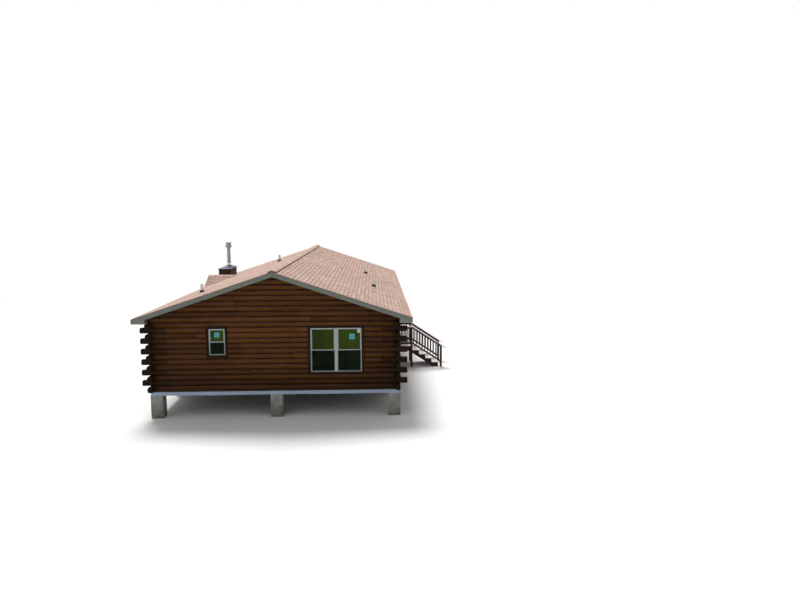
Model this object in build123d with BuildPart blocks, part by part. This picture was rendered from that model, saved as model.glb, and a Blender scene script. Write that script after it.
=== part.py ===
from build123d import *
from dataclasses import dataclass
from math import ceil, hypot
import os

# A one-storey log cabin on block piers, in millimetres. X runs to the right of the front wall,
# Y away from it along the ridge, Z up. The origin is on the ground under the middle of the plan.

# Log walls. A log is flat inside and rounded outside, and the courses are counted from the floor.
wall_width = 8380.0
wall_length = 17070.0
floor_height = 950.0
log_height = 178.0
log_thickness = 165.0
log_rounding = 27.0
tail_length = 235.0
lintel_height = 200.0
plate_depth = 124.0

# Floor and piers
rim_height = 150.0
rim_thickness = 76.0
centre_beam_width = 152.0
joist_thickness = 38.0
joist_spacing = 610.0
deck_thickness = 19.0
belly_thickness = 3.0
pier_width = 400.0
piers_along = 7
pier_rows = 3

# Roof
roof_slope = 4 / 12
heel_height = 150.0
roof_build_up = 27.0
eave_overhang = 400.0
rake_overhang = 300.0
board_thickness = 38.0
rake_board_depth = 184.0
soffit_thickness = 10.0
soffit_recess = 10.0
cheek_thickness = 19.0
mitre_gap = 2.0
rafter_depth = 89.0
rafter_spacing = 610.0
ceiling_thickness = 13.0
ridge_vent_width = 300.0
ridge_vent_height = 45.0
drip_edge_thickness = 3.0
drip_edge_depth = 55.0
drip_edge_rise = 6.0

# Small gable that crosses the left slope
cross_centre = 1410.0
cross_rise = 497.0
cross_slope = 6 / 12
cross_board_depth = 140.0

# Chimney chase on the left wall, and the flue
chase_width = 610.0
chase_depth = 1540.0
chase_setback = 3435.0
chase_height = 3940.0
chase_wall = 100.0
chase_clearance = 3.0
cover_overhang = 45.0
cover_rim = 28.0
cover_rise = 135.0
cover_crown = 230.0
flue_diameter = 190.0
flue_wall = 25.0
flue_length = 925.0
flue_inset = 230.0
cap_diameter = 335.0
cap_height = 305.0
cap_waist = 250.0
cap_taper = 45.0
cap_band = 95.0
cap_lid = 60.0

# Drain vents through the roof
vent_diameter = 114.0
vent_wall = 6.0
vent_height = 300.0
flashing_size = 300.0
flashing_thickness = 4.0
boot_height = 75.0
boot_wall = 45.0
boot_lip = 6.0

# Windows, with their heads in line with the door's, placed from the middle of their wall
small_window_width = 560.0
small_window_height = 915.0
twin_window_width = 1733.0
twin_window_height = 1524.0
end_small_centre = 1917.0
end_twin_centre = 2033.0
side_twin_centre = 5600.0
right_small_centre = 1900.0
left_small_centre = 7300.0
window_fit = 6.0
window_depth = 80.0
frame_face = 28.0
mull_width = 32.0
sash_face = 30.0
sash_depth = 30.0
sash_setback = 15.0
pane_thickness = 18.0
trim_width = 89.0
trim_proud = 7.0
trim_lap = 12.0

# Door in the right wall
door_centre = -865.0
door_width = 914.0
door_height = 2032.0
door_thickness = 45.0
door_clearance = 3.0
jamb_thickness = 32.0
stop_width = 12.0
door_setback = 40.0
door_panel_relief = 6.0
knob_diameter = 55.0
knob_reach = 60.0
knob_height = 955.0
knob_backset = 70.0

# Landing and stair outside the door
landing_length = 840.0
landing_drop = 20.0
stair_width = 1230.0
stair_risers = 5
stair_going = 285.0
post_size = 89.0
newel_centre = 2115.0
rail_height = 915.0
rail_end = 2330.0
board_width = 140.0
board_height = 25.0
board_gap = 6.0
landing_frame_depth = 184.0
stringer_depth = 235.0
tread_nosing = 20.0
tread_thickness = 38.0
cap_width = 140.0
rail_depth = 89.0
rail_clearance = 10.0
bottom_rail_gap = 90.0
baluster_size = 38.0
baluster_spacing = 125.0

half_width = wall_width / 2
half_length = wall_length / 2
door_opening_width = door_width + 2 * (door_clearance + jamb_thickness)
door_opening_height = door_height + door_clearance + 2 * jamb_thickness
door_opening = (door_centre, door_opening_width, door_opening_height)
window_head = door_opening_height + window_fit
course_count = ceil((door_opening_height + lintel_height) / log_height)
groove = log_thickness - log_rounding
groove_x = half_width - log_rounding
groove_y = half_length - log_rounding
inner_x = half_width - log_thickness
inner_y = half_length - log_thickness
logs_top = floor_height + course_count * log_height
plate_top = logs_top + plate_depth
rim_foot = floor_height - rim_height
slope_length = hypot(1, roof_slope)
frame_apex = plate_top + heel_height + half_width * roof_slope
roof_apex = frame_apex + roof_build_up * slope_length
eave_x = half_width + eave_overhang
rake_y = half_length + rake_overhang
eave_inner_x = eave_x - board_thickness
rake_inner_y = rake_y - board_thickness
chase_x = half_width + chase_width / 2
chase_centre = half_length - chase_setback

FRONT = Vector(0, -1, 0)
BACK = Vector(0, 1, 0)
LEFT = Vector(-1, 0, 0)
RIGHT = Vector(1, 0, 0)
UP = Vector(0, 0, 1)


@dataclass
class Window:
    """Double-hung units side by side; centre is along the wall, to the right seen from outside."""

    centre: float
    width: float
    height: float
    units: int = 1

    @property
    def middle(self):
        return window_head - self.height / 2

    @property
    def unit_width(self):
        frames = self.width - 2 * window_fit - (self.units - 1) * mull_width
        return frames / self.units

    @property
    def unit_centres(self):
        step = self.unit_width + mull_width
        return [self.centre + (i - (self.units - 1) / 2) * step for i in range(self.units)]


def small_window(centre):
    return Window(centre, small_window_width, small_window_height)


def twin_window(centre):
    return Window(centre, twin_window_width, twin_window_height, units=2)


windows = {
    "front": (
        FRONT,
        half_length,
        [small_window(-end_small_centre), twin_window(end_twin_centre)],
    ),
    "back": (
        BACK,
        half_length,
        [small_window(end_small_centre), twin_window(-end_twin_centre)],
    ),
    "left": (
        LEFT,
        half_width,
        [twin_window(side_twin_centre), twin_window(-cross_centre), small_window(-left_small_centre)],
    ),
    "right": (
        RIGHT,
        half_width,
        [twin_window(-side_twin_centre), small_window(right_small_centre), twin_window(side_twin_centre)],
    ),
}


def frame_top(x):
    """Height of the top edge of the roof framing."""
    return frame_apex - abs(x) * roof_slope


def roof_top(x):
    """Height of the roof's finished surface."""
    return roof_apex - abs(x) * roof_slope


def slope_plane(side):
    """The finished surface of one roof slope, side -1 on the left and 1 on the right."""
    return Plane(origin=(0, 0, roof_apex), x_dir=(0, 1, 0), z_dir=(side * roof_slope, 0, 1))


def end_plane(outward, reach):
    """Seen along a wall from its end: x outwards from the inner face of the logs, y up from the floor."""
    origin = outward * (reach - log_thickness) + UP * floor_height
    return Plane(origin=origin, x_dir=outward, z_dir=outward.cross(UP))


def face_plane(outward, reach):
    """Seen from outside a wall: x to the right, y up from the floor, on the crests of the logs."""
    origin = outward * reach + UP * floor_height
    return Plane(origin=origin, x_dir=UP.cross(outward), z_dir=outward)


def save(piece, label):
    piece.part.label = label
    export_step(piece.part, f"parts/{label}.step")


def log_stack(first, last, step=1):
    """Logs seen from the end, from course first up to but not including course last."""
    with BuildSketch() as stack:
        for course in range(first, last, step):
            foot = course * log_height
            head = foot + log_height
            with BuildLine():
                Polyline((groove, head), (0, head), (0, foot), (groove, foot))
                ThreePointArc((groove, foot), (log_thickness, foot + log_height / 2), (groove, head))
            make_face()
    return stack.sketch


def log_wall(side, run, first_tail, plate_length=0.0, doors=()):
    """One wall of logs. Every second course runs past both corners with a tail, from first_tail on."""
    outward, reach, holes = windows[side]
    with BuildPart() as wall:
        with BuildSketch(end_plane(outward, reach)):
            add(log_stack(0, course_count))
        extrude(amount=run / 2 - log_thickness, both=True)
        with BuildSketch(end_plane(outward, reach)):
            add(log_stack(first_tail, course_count, 2))
        extrude(amount=run / 2 + tail_length, both=True)
        if plate_length:
            with BuildSketch(end_plane(outward, reach)):
                with Locations((0, course_count * log_height)):
                    Rectangle(groove, plate_depth, align=(Align.MIN, Align.MIN))
            extrude(amount=plate_length / 2, both=True)
        with BuildSketch(face_plane(outward, reach)):
            for window in holes:
                with Locations((window.centre, window.middle)):
                    Rectangle(window.width, window.height)
            for centre, width, height in doors:
                with Locations((centre, height / 2)):
                    Rectangle(width, height)
        extrude(amount=-log_thickness, mode=Mode.SUBTRACT)
        with BuildSketch(face_plane(outward, reach)):
            for window in holes:
                with Locations((window.centre, window.middle)):
                    Rectangle(*trim_outline(window.width, window.height))
            for centre, width, height in doors:
                trim_height = height + trim_width - trim_lap
                with Locations((centre, trim_height / 2)):
                    Rectangle(trim_outline(width, height)[0], trim_height)
        extrude(amount=-log_rounding, mode=Mode.SUBTRACT)
    return wall


def trim_outline(width, height):
    """Outside size of the boards round an opening, which lap over its edge."""
    grow = 2 * (trim_width - trim_lap)
    return width + grow, height + grow


def block_piers():
    """Rows of block piers from the ground to the rim, the outer ones in line with the log faces."""
    row_spacing = (wall_width - pier_width) / (pier_rows - 1)
    pier_spacing = (2 * groove_y - pier_width) / (piers_along - 1)
    with BuildPart() as piers:
        with BuildSketch(Plane.XY):
            with GridLocations(row_spacing, pier_spacing, pier_rows, piers_along):
                Rectangle(pier_width, pier_width)
        extrude(amount=rim_foot)
    return piers


def floor_rim():
    """Doubled boards round the floor, and the beam down its middle."""
    with BuildPart() as rim:
        with BuildSketch(Plane.XY.offset(rim_foot)):
            Rectangle(2 * groove_x, 2 * groove_y)
            Rectangle(2 * (groove_x - rim_thickness), 2 * (groove_y - rim_thickness), mode=Mode.SUBTRACT)
            Rectangle(centre_beam_width, 2 * groove_y)
        extrude(amount=rim_height)
    return rim


def floor_joists():
    """Joists across each half of the floor, between the rim and the middle beam."""
    length = groove_x - rim_thickness - centre_beam_width / 2
    middle = centre_beam_width / 2 + length / 2
    count = int(2 * (groove_y - rim_thickness) // joist_spacing)
    with BuildPart() as joists:
        with BuildSketch(Plane.XY.offset(rim_foot + belly_thickness)):
            with GridLocations(2 * middle, joist_spacing, 2, count):
                Rectangle(length, joist_thickness)
        extrude(amount=rim_height - belly_thickness - deck_thickness)
    return joists


def floor_sheet(foot, thickness):
    """A sheet over both halves of the floor, inside the rim."""
    length = groove_x - rim_thickness - centre_beam_width / 2
    middle = centre_beam_width / 2 + length / 2
    with BuildPart() as sheet:
        with BuildSketch(Plane.XY.offset(foot)):
            with GridLocations(2 * middle, 0, 2, 1):
                Rectangle(length, 2 * (groove_y - rim_thickness))
        extrude(amount=thickness)
    return sheet


def gable(outward):
    """Siding like the logs, carried up under the roof on its own framing."""
    courses = ceil((frame_apex - logs_top) / log_height)
    top_of_wall = course_count * log_height
    with BuildPart() as panel:
        with BuildSketch(end_plane(outward, half_length)):
            add(log_stack(course_count, course_count + courses))
        extrude(amount=groove_x, both=True)
        with BuildSketch(face_plane(outward, half_length)):
            Polygon(
                (-groove_x, top_of_wall),
                (groove_x, top_of_wall),
                (groove_x, frame_top(groove_x) - floor_height),
                (0, frame_apex - floor_height),
                (-groove_x, frame_top(groove_x) - floor_height),
                align=None,
            )
        extrude(amount=-log_thickness, mode=Mode.INTERSECT)
    return panel


def ceiling_board():
    """Ceiling under the rafters, between the walls."""
    with BuildPart() as board:
        with BuildSketch(Plane.XY.offset(plate_top - ceiling_thickness)):
            Rectangle(2 * inner_x, 2 * inner_y)
        extrude(amount=ceiling_thickness)
    return board


def chase_notch():
    """The room that the chimney chase needs where it passes the eave."""
    with BuildPart() as notch:
        with BuildSketch(Plane.XY):
            with Locations((-chase_x, chase_centre)):
                Rectangle(chase_width, chase_depth + 2 * chase_clearance)
        extrude(amount=roof_apex)
    return notch.part


def rafter_outline():
    """A pair of rafters with tails to the eaves, tied at plate height by a ceiling joist."""
    drop = rafter_depth * slope_length
    with BuildSketch() as outline:
        for side in (-1, 1):
            Polygon(
                (0, frame_apex),
                (side * eave_inner_x, frame_top(eave_inner_x)),
                (side * eave_inner_x, frame_top(eave_inner_x) - drop),
                (0, frame_apex - drop),
                align=None,
            )
        with Locations((0, plate_top)):
            Rectangle(2 * groove_x, rafter_depth, align=(Align.CENTER, Align.MIN))
    return outline.sketch


def roof_rafters():
    """Rafters between the gables, their tails cut short at the chimney chase."""
    count = int(2 * inner_y // rafter_spacing)
    with BuildPart() as pair:
        with BuildSketch(Plane.XZ):
            add(rafter_outline())
        extrude(amount=joist_thickness / 2, both=True)
    with BuildPart() as rafters:
        with GridLocations(0, rafter_spacing, 1, count):
            add(pair.part)
        add(chase_notch(), mode=Mode.SUBTRACT)
    return rafters


def roof_slope_panel(side):
    """Sheathing and shingles of one slope, cut round the chimney chase on the left."""
    with BuildPart() as panel:
        with BuildSketch(Plane.XZ):
            Polygon(
                (0, frame_apex),
                (side * eave_x, frame_top(eave_x)),
                (side * eave_x, roof_top(eave_x)),
                (0, roof_apex),
                align=None,
            )
        extrude(amount=rake_y, both=True)
        if side < 0:
            add(chase_notch(), mode=Mode.SUBTRACT)
    return panel


def ridge_vent():
    """The vented cap along the ridge."""
    reach = ridge_vent_width / 2
    with BuildPart() as vent:
        with BuildSketch(Plane.XZ):
            Polygon(
                (0, roof_apex),
                (reach, roof_top(reach)),
                (reach, roof_top(reach) + ridge_vent_height),
                (0, roof_apex + ridge_vent_height),
                (-reach, roof_top(reach) + ridge_vent_height),
                (-reach, roof_top(reach)),
                align=None,
            )
        extrude(amount=rake_y, both=True)
    return vent


rake_foot = frame_apex - rake_board_depth * slope_length


def rake_boards():
    """The boards under the roof's edge at both gables, cut level at their feet."""
    foot_x = (rake_foot - logs_top) / roof_slope
    with BuildPart() as boards:
        for end in (-1, 1):
            with BuildSketch(Plane.XZ.offset(-end * rake_inner_y)):
                for side in (-1, 1):
                    gap = side * mitre_gap / 2
                    Polygon(
                        (gap, frame_top(gap)),
                        (side * eave_x, frame_top(eave_x)),
                        (side * eave_x, logs_top),
                        (side * foot_x, logs_top),
                        (gap, rake_foot - abs(gap) * roof_slope),
                        align=None,
                    )
            extrude(amount=-end * board_thickness)
    return boards


def fascias():
    """The boards along both eaves, between the rake boards."""
    with BuildPart() as boards:
        for side in (-1, 1):
            with BuildSketch(Plane.XZ):
                Polygon(
                    (side * eave_inner_x, logs_top),
                    (side * eave_x, logs_top),
                    (side * eave_x, frame_top(eave_x)),
                    (side * eave_inner_x, frame_top(eave_inner_x)),
                    align=None,
                )
            extrude(amount=rake_inner_y, both=True)
        add(chase_notch(), mode=Mode.SUBTRACT)
    return boards


def soffits():
    """Level panels under the eaves, and sloping ones under the roof's edge at the gables."""
    panel_foot = rake_foot + soffit_recess
    with BuildPart() as panels:
        with BuildSketch(Plane.XY.offset(logs_top)):
            for side in (-1, 1):
                with Locations((side * (groove_x + eave_inner_x) / 2, 0)):
                    Rectangle(eave_inner_x - groove_x, 2 * rake_inner_y)
            with GridLocations(
                2 * groove_x + cheek_thickness, groove_y + rake_inner_y, 2, 2
            ):
                Rectangle(cheek_thickness, rake_inner_y - groove_y, mode=Mode.SUBTRACT)
        extrude(amount=soffit_thickness)
        add(chase_notch(), mode=Mode.SUBTRACT)
        for end in (-1, 1):
            with BuildSketch(Plane.XZ.offset(-end * half_length)):
                for side in (-1, 1):
                    gap = side * mitre_gap / 2
                    Polygon(
                        (gap, panel_foot),
                        (side * groove_x, panel_foot - groove_x * roof_slope),
                        (side * groove_x, panel_foot - groove_x * roof_slope + soffit_thickness),
                        (gap, panel_foot + soffit_thickness),
                        align=None,
                    )
            extrude(amount=-end * (rake_inner_y - half_length))
    return panels


def eave_returns():
    """What boxes in each eave past the gable: a small board under the rake and a cheek behind it."""
    foot_x = (rake_foot - logs_top) / roof_slope
    cheek_top = rake_foot + soffit_recess + soffit_thickness - groove_x * roof_slope
    with BuildPart() as returns:
        for end in (-1, 1):
            with BuildSketch(Plane.XZ.offset(-end * rake_inner_y)):
                for side in (-1, 1):
                    Polygon(
                        (side * groove_x, logs_top),
                        (side * foot_x, logs_top),
                        (side * groove_x, rake_foot - groove_x * roof_slope),
                        align=None,
                    )
            extrude(amount=-end * board_thickness)
        with BuildSketch(Plane.XY.offset(logs_top)):
            with GridLocations(
                2 * groove_x + cheek_thickness, groove_y + rake_inner_y, 2, 2
            ):
                Rectangle(cheek_thickness, rake_inner_y - groove_y)
        extrude(amount=cheek_top - logs_top)
    return returns


def drip_edge():
    """Thin metal over the edge of the roof, down the rakes and along the eaves."""
    with BuildPart() as strips:
        for end in (-1, 1):
            with BuildSketch(Plane.XZ.offset(-end * rake_y)):
                for side in (-1, 1):
                    gap = side * mitre_gap / 2
                    top = roof_apex + drip_edge_rise
                    end_top = roof_top(eave_x) + drip_edge_rise
                    Polygon(
                        (gap, top),
                        (side * eave_x, end_top),
                        (side * eave_x, end_top - drip_edge_depth),
                        (gap, top - drip_edge_depth),
                        align=None,
                    )
            extrude(amount=-end * drip_edge_thickness)
        for side in (-1, 1):
            with BuildSketch(Plane.YZ.offset(side * eave_x)):
                with Locations((0, roof_top(eave_x))):
                    Rectangle(2 * (rake_y - mitre_gap), drip_edge_depth, align=(Align.CENTER, Align.MAX))
            extrude(amount=side * drip_edge_thickness)
        with BuildSketch(Plane.XY):
            with Locations((-chase_x, chase_centre)):
                Rectangle(chase_width, chase_depth + 2 * chase_clearance)
        extrude(amount=roof_apex, mode=Mode.SUBTRACT)
    return strips


cross_apex = roof_top(eave_x) + cross_rise
cross_drop = roof_build_up * hypot(1, cross_slope)
cross_inner_x = (roof_apex - cross_apex) / roof_slope


def cross_outline(top, depth, reach):
    """An upturned V seen from the left, with its point at height top."""
    with BuildSketch() as outline:
        Polygon(
            (-reach, top - reach * cross_slope),
            (0, top),
            (reach, top - reach * cross_slope),
            (reach, top - depth - reach * cross_slope),
            (0, top - depth),
            (-reach, top - depth - reach * cross_slope),
            align=None,
        )
    return outline.sketch


def cross_gable_roof():
    """Two small slopes that run back until they meet the main one."""
    reach = cross_rise / cross_slope
    with BuildPart() as panel:
        with BuildSketch(Plane.YZ.offset(-eave_x)):
            with Locations((cross_centre, 0)):
                add(cross_outline(cross_apex, cross_drop, reach))
        extrude(amount=eave_x - cross_inner_x)
        split(bisect_by=slope_plane(-1), keep=Keep.TOP)
    return panel


def cross_gable_face():
    """Siding under the small slopes, in line with the wall below and standing on the main slope."""
    first = course_count
    last = first + ceil((cross_apex - logs_top) / log_height)
    reach = cross_rise / cross_slope
    top = cross_apex - cross_drop
    with BuildPart() as face:
        with BuildSketch(end_plane(LEFT, half_width)):
            add(log_stack(first, last))
        extrude(amount=half_length, both=True)
        with BuildSketch(Plane.YZ.offset(-half_width)):
            with Locations((cross_centre, 0)):
                Polygon(
                    (-reach, top - reach * cross_slope),
                    (reach, top - reach * cross_slope),
                    (0, top),
                    align=None,
                )
        extrude(amount=log_thickness, mode=Mode.INTERSECT)
        split(bisect_by=slope_plane(-1), keep=Keep.TOP)
    return face


def cross_gable_rake_boards():
    """Boards under the edge of the small slopes, cut to sit on the main one."""
    reach = cross_rise / cross_slope
    depth = cross_board_depth * hypot(1, cross_slope)
    with BuildPart() as boards:
        with BuildSketch(Plane.YZ.offset(-eave_x)):
            with Locations((cross_centre, 0)):
                add(cross_outline(cross_apex - cross_drop, depth, reach))
        extrude(amount=board_thickness)
        split(bisect_by=slope_plane(-1), keep=Keep.TOP)
    return boards


def chimney_chase():
    """The hollow box round the flue, from the ground up past the eave."""
    with BuildPart() as chase:
        with BuildSketch(Plane.XY):
            with Locations((-chase_x, chase_centre)):
                Rectangle(chase_width, chase_depth)
                Rectangle(chase_width - 2 * chase_wall, chase_depth - 2 * chase_wall, mode=Mode.SUBTRACT)
        extrude(amount=chase_height)
    return chase


flue_x = half_width + flue_inset
cover_top = chase_height + cover_rim + cover_rise


def hip_outline(foot_width, crown_width, crown_shift):
    """The cover seen from one side: a rim as wide as its foot, then slopes in to its crown."""
    with BuildSketch() as outline:
        Polygon(
            (-foot_width / 2, 0),
            (foot_width / 2, 0),
            (foot_width / 2, cover_rim),
            (crown_shift + crown_width / 2, cover_rim + cover_rise),
            (crown_shift - crown_width / 2, cover_rim + cover_rise),
            (-foot_width / 2, cover_rim),
            align=None,
        )
    return outline.sketch


def chase_cover():
    """The metal lid of the chase: a flat rim, then four slopes up to the flue."""
    width = chase_width + 2 * cover_overhang
    depth = chase_depth + 2 * cover_overhang
    with BuildPart() as cover:
        with BuildSketch(Plane.XZ.offset(-chase_centre)):
            with Locations((-chase_x, chase_height)):
                add(hip_outline(width, cover_crown, chase_x - flue_x))
        extrude(amount=depth / 2, both=True)
        with BuildSketch(Plane.YZ.offset(-chase_x)):
            with Locations((chase_centre, chase_height)):
                add(hip_outline(depth, cover_crown, 0))
        extrude(amount=width / 2, both=True, mode=Mode.INTERSECT)
    return cover


def flue_pipe():
    """The double-wall pipe above the chase."""
    with BuildPart() as pipe:
        with BuildSketch(Plane.XY.offset(cover_top)):
            with Locations((-flue_x, chase_centre)):
                Circle(flue_diameter / 2)
                Circle(flue_diameter / 2 - flue_wall, mode=Mode.SUBTRACT)
        extrude(amount=flue_length)
    return pipe


def flue_cap():
    """The cap on the pipe: a tapered foot, a wide band, a waist where the smoke leaves, and a lid."""
    neck = flue_diameter / 2
    waist = cap_waist / 2
    rim = cap_diameter / 2
    band_top = cap_taper + cap_band
    foot = cover_top + flue_length
    with BuildPart() as cap:
        with BuildSketch(Plane.XZ.offset(-chase_centre)):
            with Locations((-flue_x, foot)):
                Polygon(
                    (0, 0),
                    (neck, 0),
                    (rim, cap_taper),
                    (rim, band_top),
                    (waist, band_top),
                    (waist, cap_height - cap_lid),
                    (rim, cap_height - cap_lid),
                    (rim, cap_height),
                    (0, cap_height),
                    align=None,
                )
        revolve(axis=Axis((-flue_x, chase_centre, foot), (0, 0, 1)))
    return cap


vent_places = [(-3100.0, -5600.0), (-1230.0, 1620.0), (2930.0, 1220.0), (3310.0, -3350.0)]


def vent_pipes():
    """Upright drain vents, each standing in the top of its boot."""
    with BuildPart() as pipes:
        for x, y in vent_places:
            with BuildSketch(Plane.XY.offset(roof_top(x) + boot_height)):
                with Locations((x, y)):
                    Circle(vent_diameter / 2)
                    Circle(vent_diameter / 2 - vent_wall, mode=Mode.SUBTRACT)
            extrude(amount=vent_height - boot_height)
    return pipes


def vent_flashings():
    """A plate on the shingles at each vent, with a tapered boot that holds the pipe."""
    crown = vent_diameter / 2 + boot_lip
    with BuildPart() as flashings:
        for x, y in vent_places:
            side = -1 if x < 0 else 1
            seat = Plane(origin=(x, y, roof_top(x)), x_dir=(0, 1, 0), z_dir=(side * roof_slope, 0, 1))
            foot = roof_top(abs(x) + vent_diameter)
            with BuildPart(mode=Mode.PRIVATE) as flashing:
                with Locations((x, y, foot)):
                    Cone(
                        crown + boot_wall,
                        crown,
                        roof_top(x) + boot_height - foot,
                        align=(Align.CENTER, Align.CENTER, Align.MIN),
                    )
                split(bisect_by=slope_plane(side), keep=Keep.TOP)
                with BuildSketch(seat):
                    Rectangle(flashing_size, flashing_size)
                extrude(amount=flashing_thickness)
            add(flashing.part)
    return flashings


def window_frames(side):
    """Outer frames with an upper and a lower sash in each unit, twins joined by a mull."""
    outward, reach, holes = windows[side]
    seat = face_plane(outward, reach).offset(-log_rounding)
    with BuildPart() as frames:
        for window in holes:
            width = window.width - 2 * window_fit
            height = window.height - window_fit
            foot = window_head - window.height
            middle = foot + height / 2
            with BuildSketch(seat):
                with Locations((window.centre, middle)):
                    Rectangle(width, height)
                with Locations([(centre, middle) for centre in window.unit_centres]):
                    Rectangle(
                        window.unit_width - 2 * frame_face,
                        height - 2 * frame_face,
                        mode=Mode.SUBTRACT,
                    )
            extrude(amount=-window_depth)
            for upper in (True, False):
                depth = sash_setback if upper else sash_setback + sash_depth
                low, high = sash_span(foot, height, upper)
                with BuildSketch(seat.offset(-depth)):
                    with Locations([(centre, (low + high) / 2) for centre in window.unit_centres]):
                        Rectangle(window.unit_width - 2 * frame_face, high - low)
                        Rectangle(
                            window.unit_width - 2 * (frame_face + sash_face),
                            high - low - 2 * sash_face,
                            mode=Mode.SUBTRACT,
                        )
                extrude(amount=-sash_depth)
    return frames


def sash_span(foot, height, upper):
    """Lowest and highest point of a sash; the two meet behind each other at mid-height."""
    middle = foot + height / 2
    if upper:
        return middle - sash_face / 2, foot + height - frame_face
    return foot + frame_face, middle + sash_face / 2


def window_glass():
    """One pane in each sash."""
    with BuildPart() as glass:
        for outward, reach, holes in windows.values():
            seat = face_plane(outward, reach).offset(-log_rounding)
            for window in holes:
                foot = window_head - window.height
                height = window.height - window_fit
                for upper in (True, False):
                    depth = sash_setback if upper else sash_setback + sash_depth
                    low, high = sash_span(foot, height, upper)
                    with BuildSketch(seat.offset(-depth - (sash_depth - pane_thickness) / 2)):
                        with Locations([(centre, (low + high) / 2) for centre in window.unit_centres]):
                            Rectangle(
                                window.unit_width - 2 * (frame_face + sash_face),
                                high - low - 2 * sash_face,
                            )
                    extrude(amount=-pane_thickness)
    return glass


def opening_trim():
    """Flat boards let into the logs round every window and the door."""
    with BuildPart() as trim:
        for outward, reach, holes in windows.values():
            with BuildSketch(face_plane(outward, reach).offset(-log_rounding)):
                for window in holes:
                    with Locations((window.centre, window.middle)):
                        Rectangle(*trim_outline(window.width, window.height))
                        Rectangle(
                            window.width - 2 * trim_lap,
                            window.height - 2 * trim_lap,
                            mode=Mode.SUBTRACT,
                        )
            extrude(amount=log_rounding + trim_proud)
        with BuildSketch(face_plane(RIGHT, half_width).offset(-log_rounding)):
            trim_height = door_opening_height + trim_width - trim_lap
            inner_height = door_opening_height - trim_lap
            with Locations((door_centre, trim_height / 2)):
                Rectangle(trim_outline(door_opening_width, 0)[0], trim_height)
            with Locations((door_centre, inner_height / 2)):
                Rectangle(door_opening_width - 2 * trim_lap, inner_height, mode=Mode.SUBTRACT)
        extrude(amount=log_rounding + trim_proud)
    return trim


def door_frame():
    """Jambs, head and sill, with a stop all round that the leaf closes against."""
    seat = face_plane(RIGHT, half_width).offset(-log_rounding)
    leaf_foot = jamb_thickness
    leaf_middle = leaf_foot + door_height / 2
    clear_width = door_width + 2 * door_clearance
    clear_height = door_height + door_clearance
    with BuildPart() as frame:
        with BuildSketch(seat):
            with Locations((door_centre, door_opening_height / 2)):
                Rectangle(door_opening_width, door_opening_height)
            with Locations((door_centre, leaf_foot + clear_height / 2)):
                Rectangle(clear_width, clear_height, mode=Mode.SUBTRACT)
        extrude(amount=-groove)
        with BuildSketch(seat.offset(-door_setback - door_thickness)):
            with Locations((door_centre, leaf_foot + clear_height / 2)):
                Rectangle(clear_width, clear_height)
            with Locations((door_centre, leaf_middle)):
                Rectangle(door_width - 2 * stop_width, door_height - 2 * stop_width, mode=Mode.SUBTRACT)
        extrude(amount=-(groove - door_setback - door_thickness))
    return frame


def door_leaf():
    """A panelled leaf, shut against the stop and resting on the sill."""
    face = face_plane(RIGHT, half_width).offset(-log_rounding - door_setback)
    foot = jamb_thickness
    middle = foot + door_height / 2
    knob_y = foot + knob_height
    knob_x = door_centre + door_width / 2 - knob_backset
    with BuildPart() as leaf:
        with BuildSketch(face):
            with Locations((door_centre, middle)):
                Rectangle(door_width, door_height)
        extrude(amount=-door_thickness)
        with BuildSketch(face):
            with Locations((door_centre, middle)):
                with GridLocations(door_width * 0.42, door_height * 0.31, 2, 3):
                    Rectangle(door_width * 0.3, door_height * 0.25)
        extrude(amount=-door_panel_relief, mode=Mode.SUBTRACT)
        with BuildSketch(face):
            with Locations((knob_x, knob_y)):
                Circle(knob_diameter / 2)
        extrude(amount=knob_reach)
    return leaf


landing_top = floor_height - landing_drop
landing_x = half_width + landing_length
stair_rise = landing_top / stair_risers
stair_slope = stair_rise / stair_going
rail_top = landing_top + rail_height
newel_x = half_width + newel_centre
post_y = stair_width / 2
cap_thickness = joist_thickness


def stair_line(x):
    """How far the stair has dropped below the landing at x."""
    return max(0.0, x - landing_x) * stair_slope


def stair_posts():
    """Four posts that carry the landing and its rails, and two newels at the foot."""
    with BuildPart() as posts:
        for x in (half_width + post_size / 2, landing_x - post_size / 2, newel_x):
            top = rail_top - cap_thickness - stair_line(x + post_size / 2)
            with BuildSketch(Plane.XY):
                with Locations((x, door_centre)):
                    with GridLocations(0, stair_width, 1, 2):
                        Rectangle(post_size, post_size)
            extrude(amount=top)
    return posts


def landing_frame():
    """Boards on edge round the landing, inside its posts, with two joists between."""
    top = landing_top - board_height
    outer_y = stair_width - post_size
    with BuildPart() as frame:
        with BuildSketch(Plane.XY.offset(top - landing_frame_depth)):
            with Locations((half_width + landing_length / 2, door_centre)):
                Rectangle(landing_length, outer_y)
                Rectangle(
                    landing_length - 2 * joist_thickness,
                    outer_y - 2 * joist_thickness,
                    mode=Mode.SUBTRACT,
                )
                with GridLocations(0, outer_y / 3, 1, 2):
                    Rectangle(landing_length, joist_thickness)
        extrude(amount=landing_frame_depth)
    return frame


def landing_boards():
    """Deck boards across the landing, between the posts."""
    count = int((landing_length + board_gap) // (board_width + board_gap))
    with BuildPart() as boards:
        with BuildSketch(Plane.XY.offset(landing_top - board_height)):
            with Locations((half_width + landing_length / 2, door_centre)):
                with GridLocations(board_width + board_gap, 0, count, 1):
                    Rectangle(board_width, stair_width - post_size)
        extrude(amount=board_height)
    return boards


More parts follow.
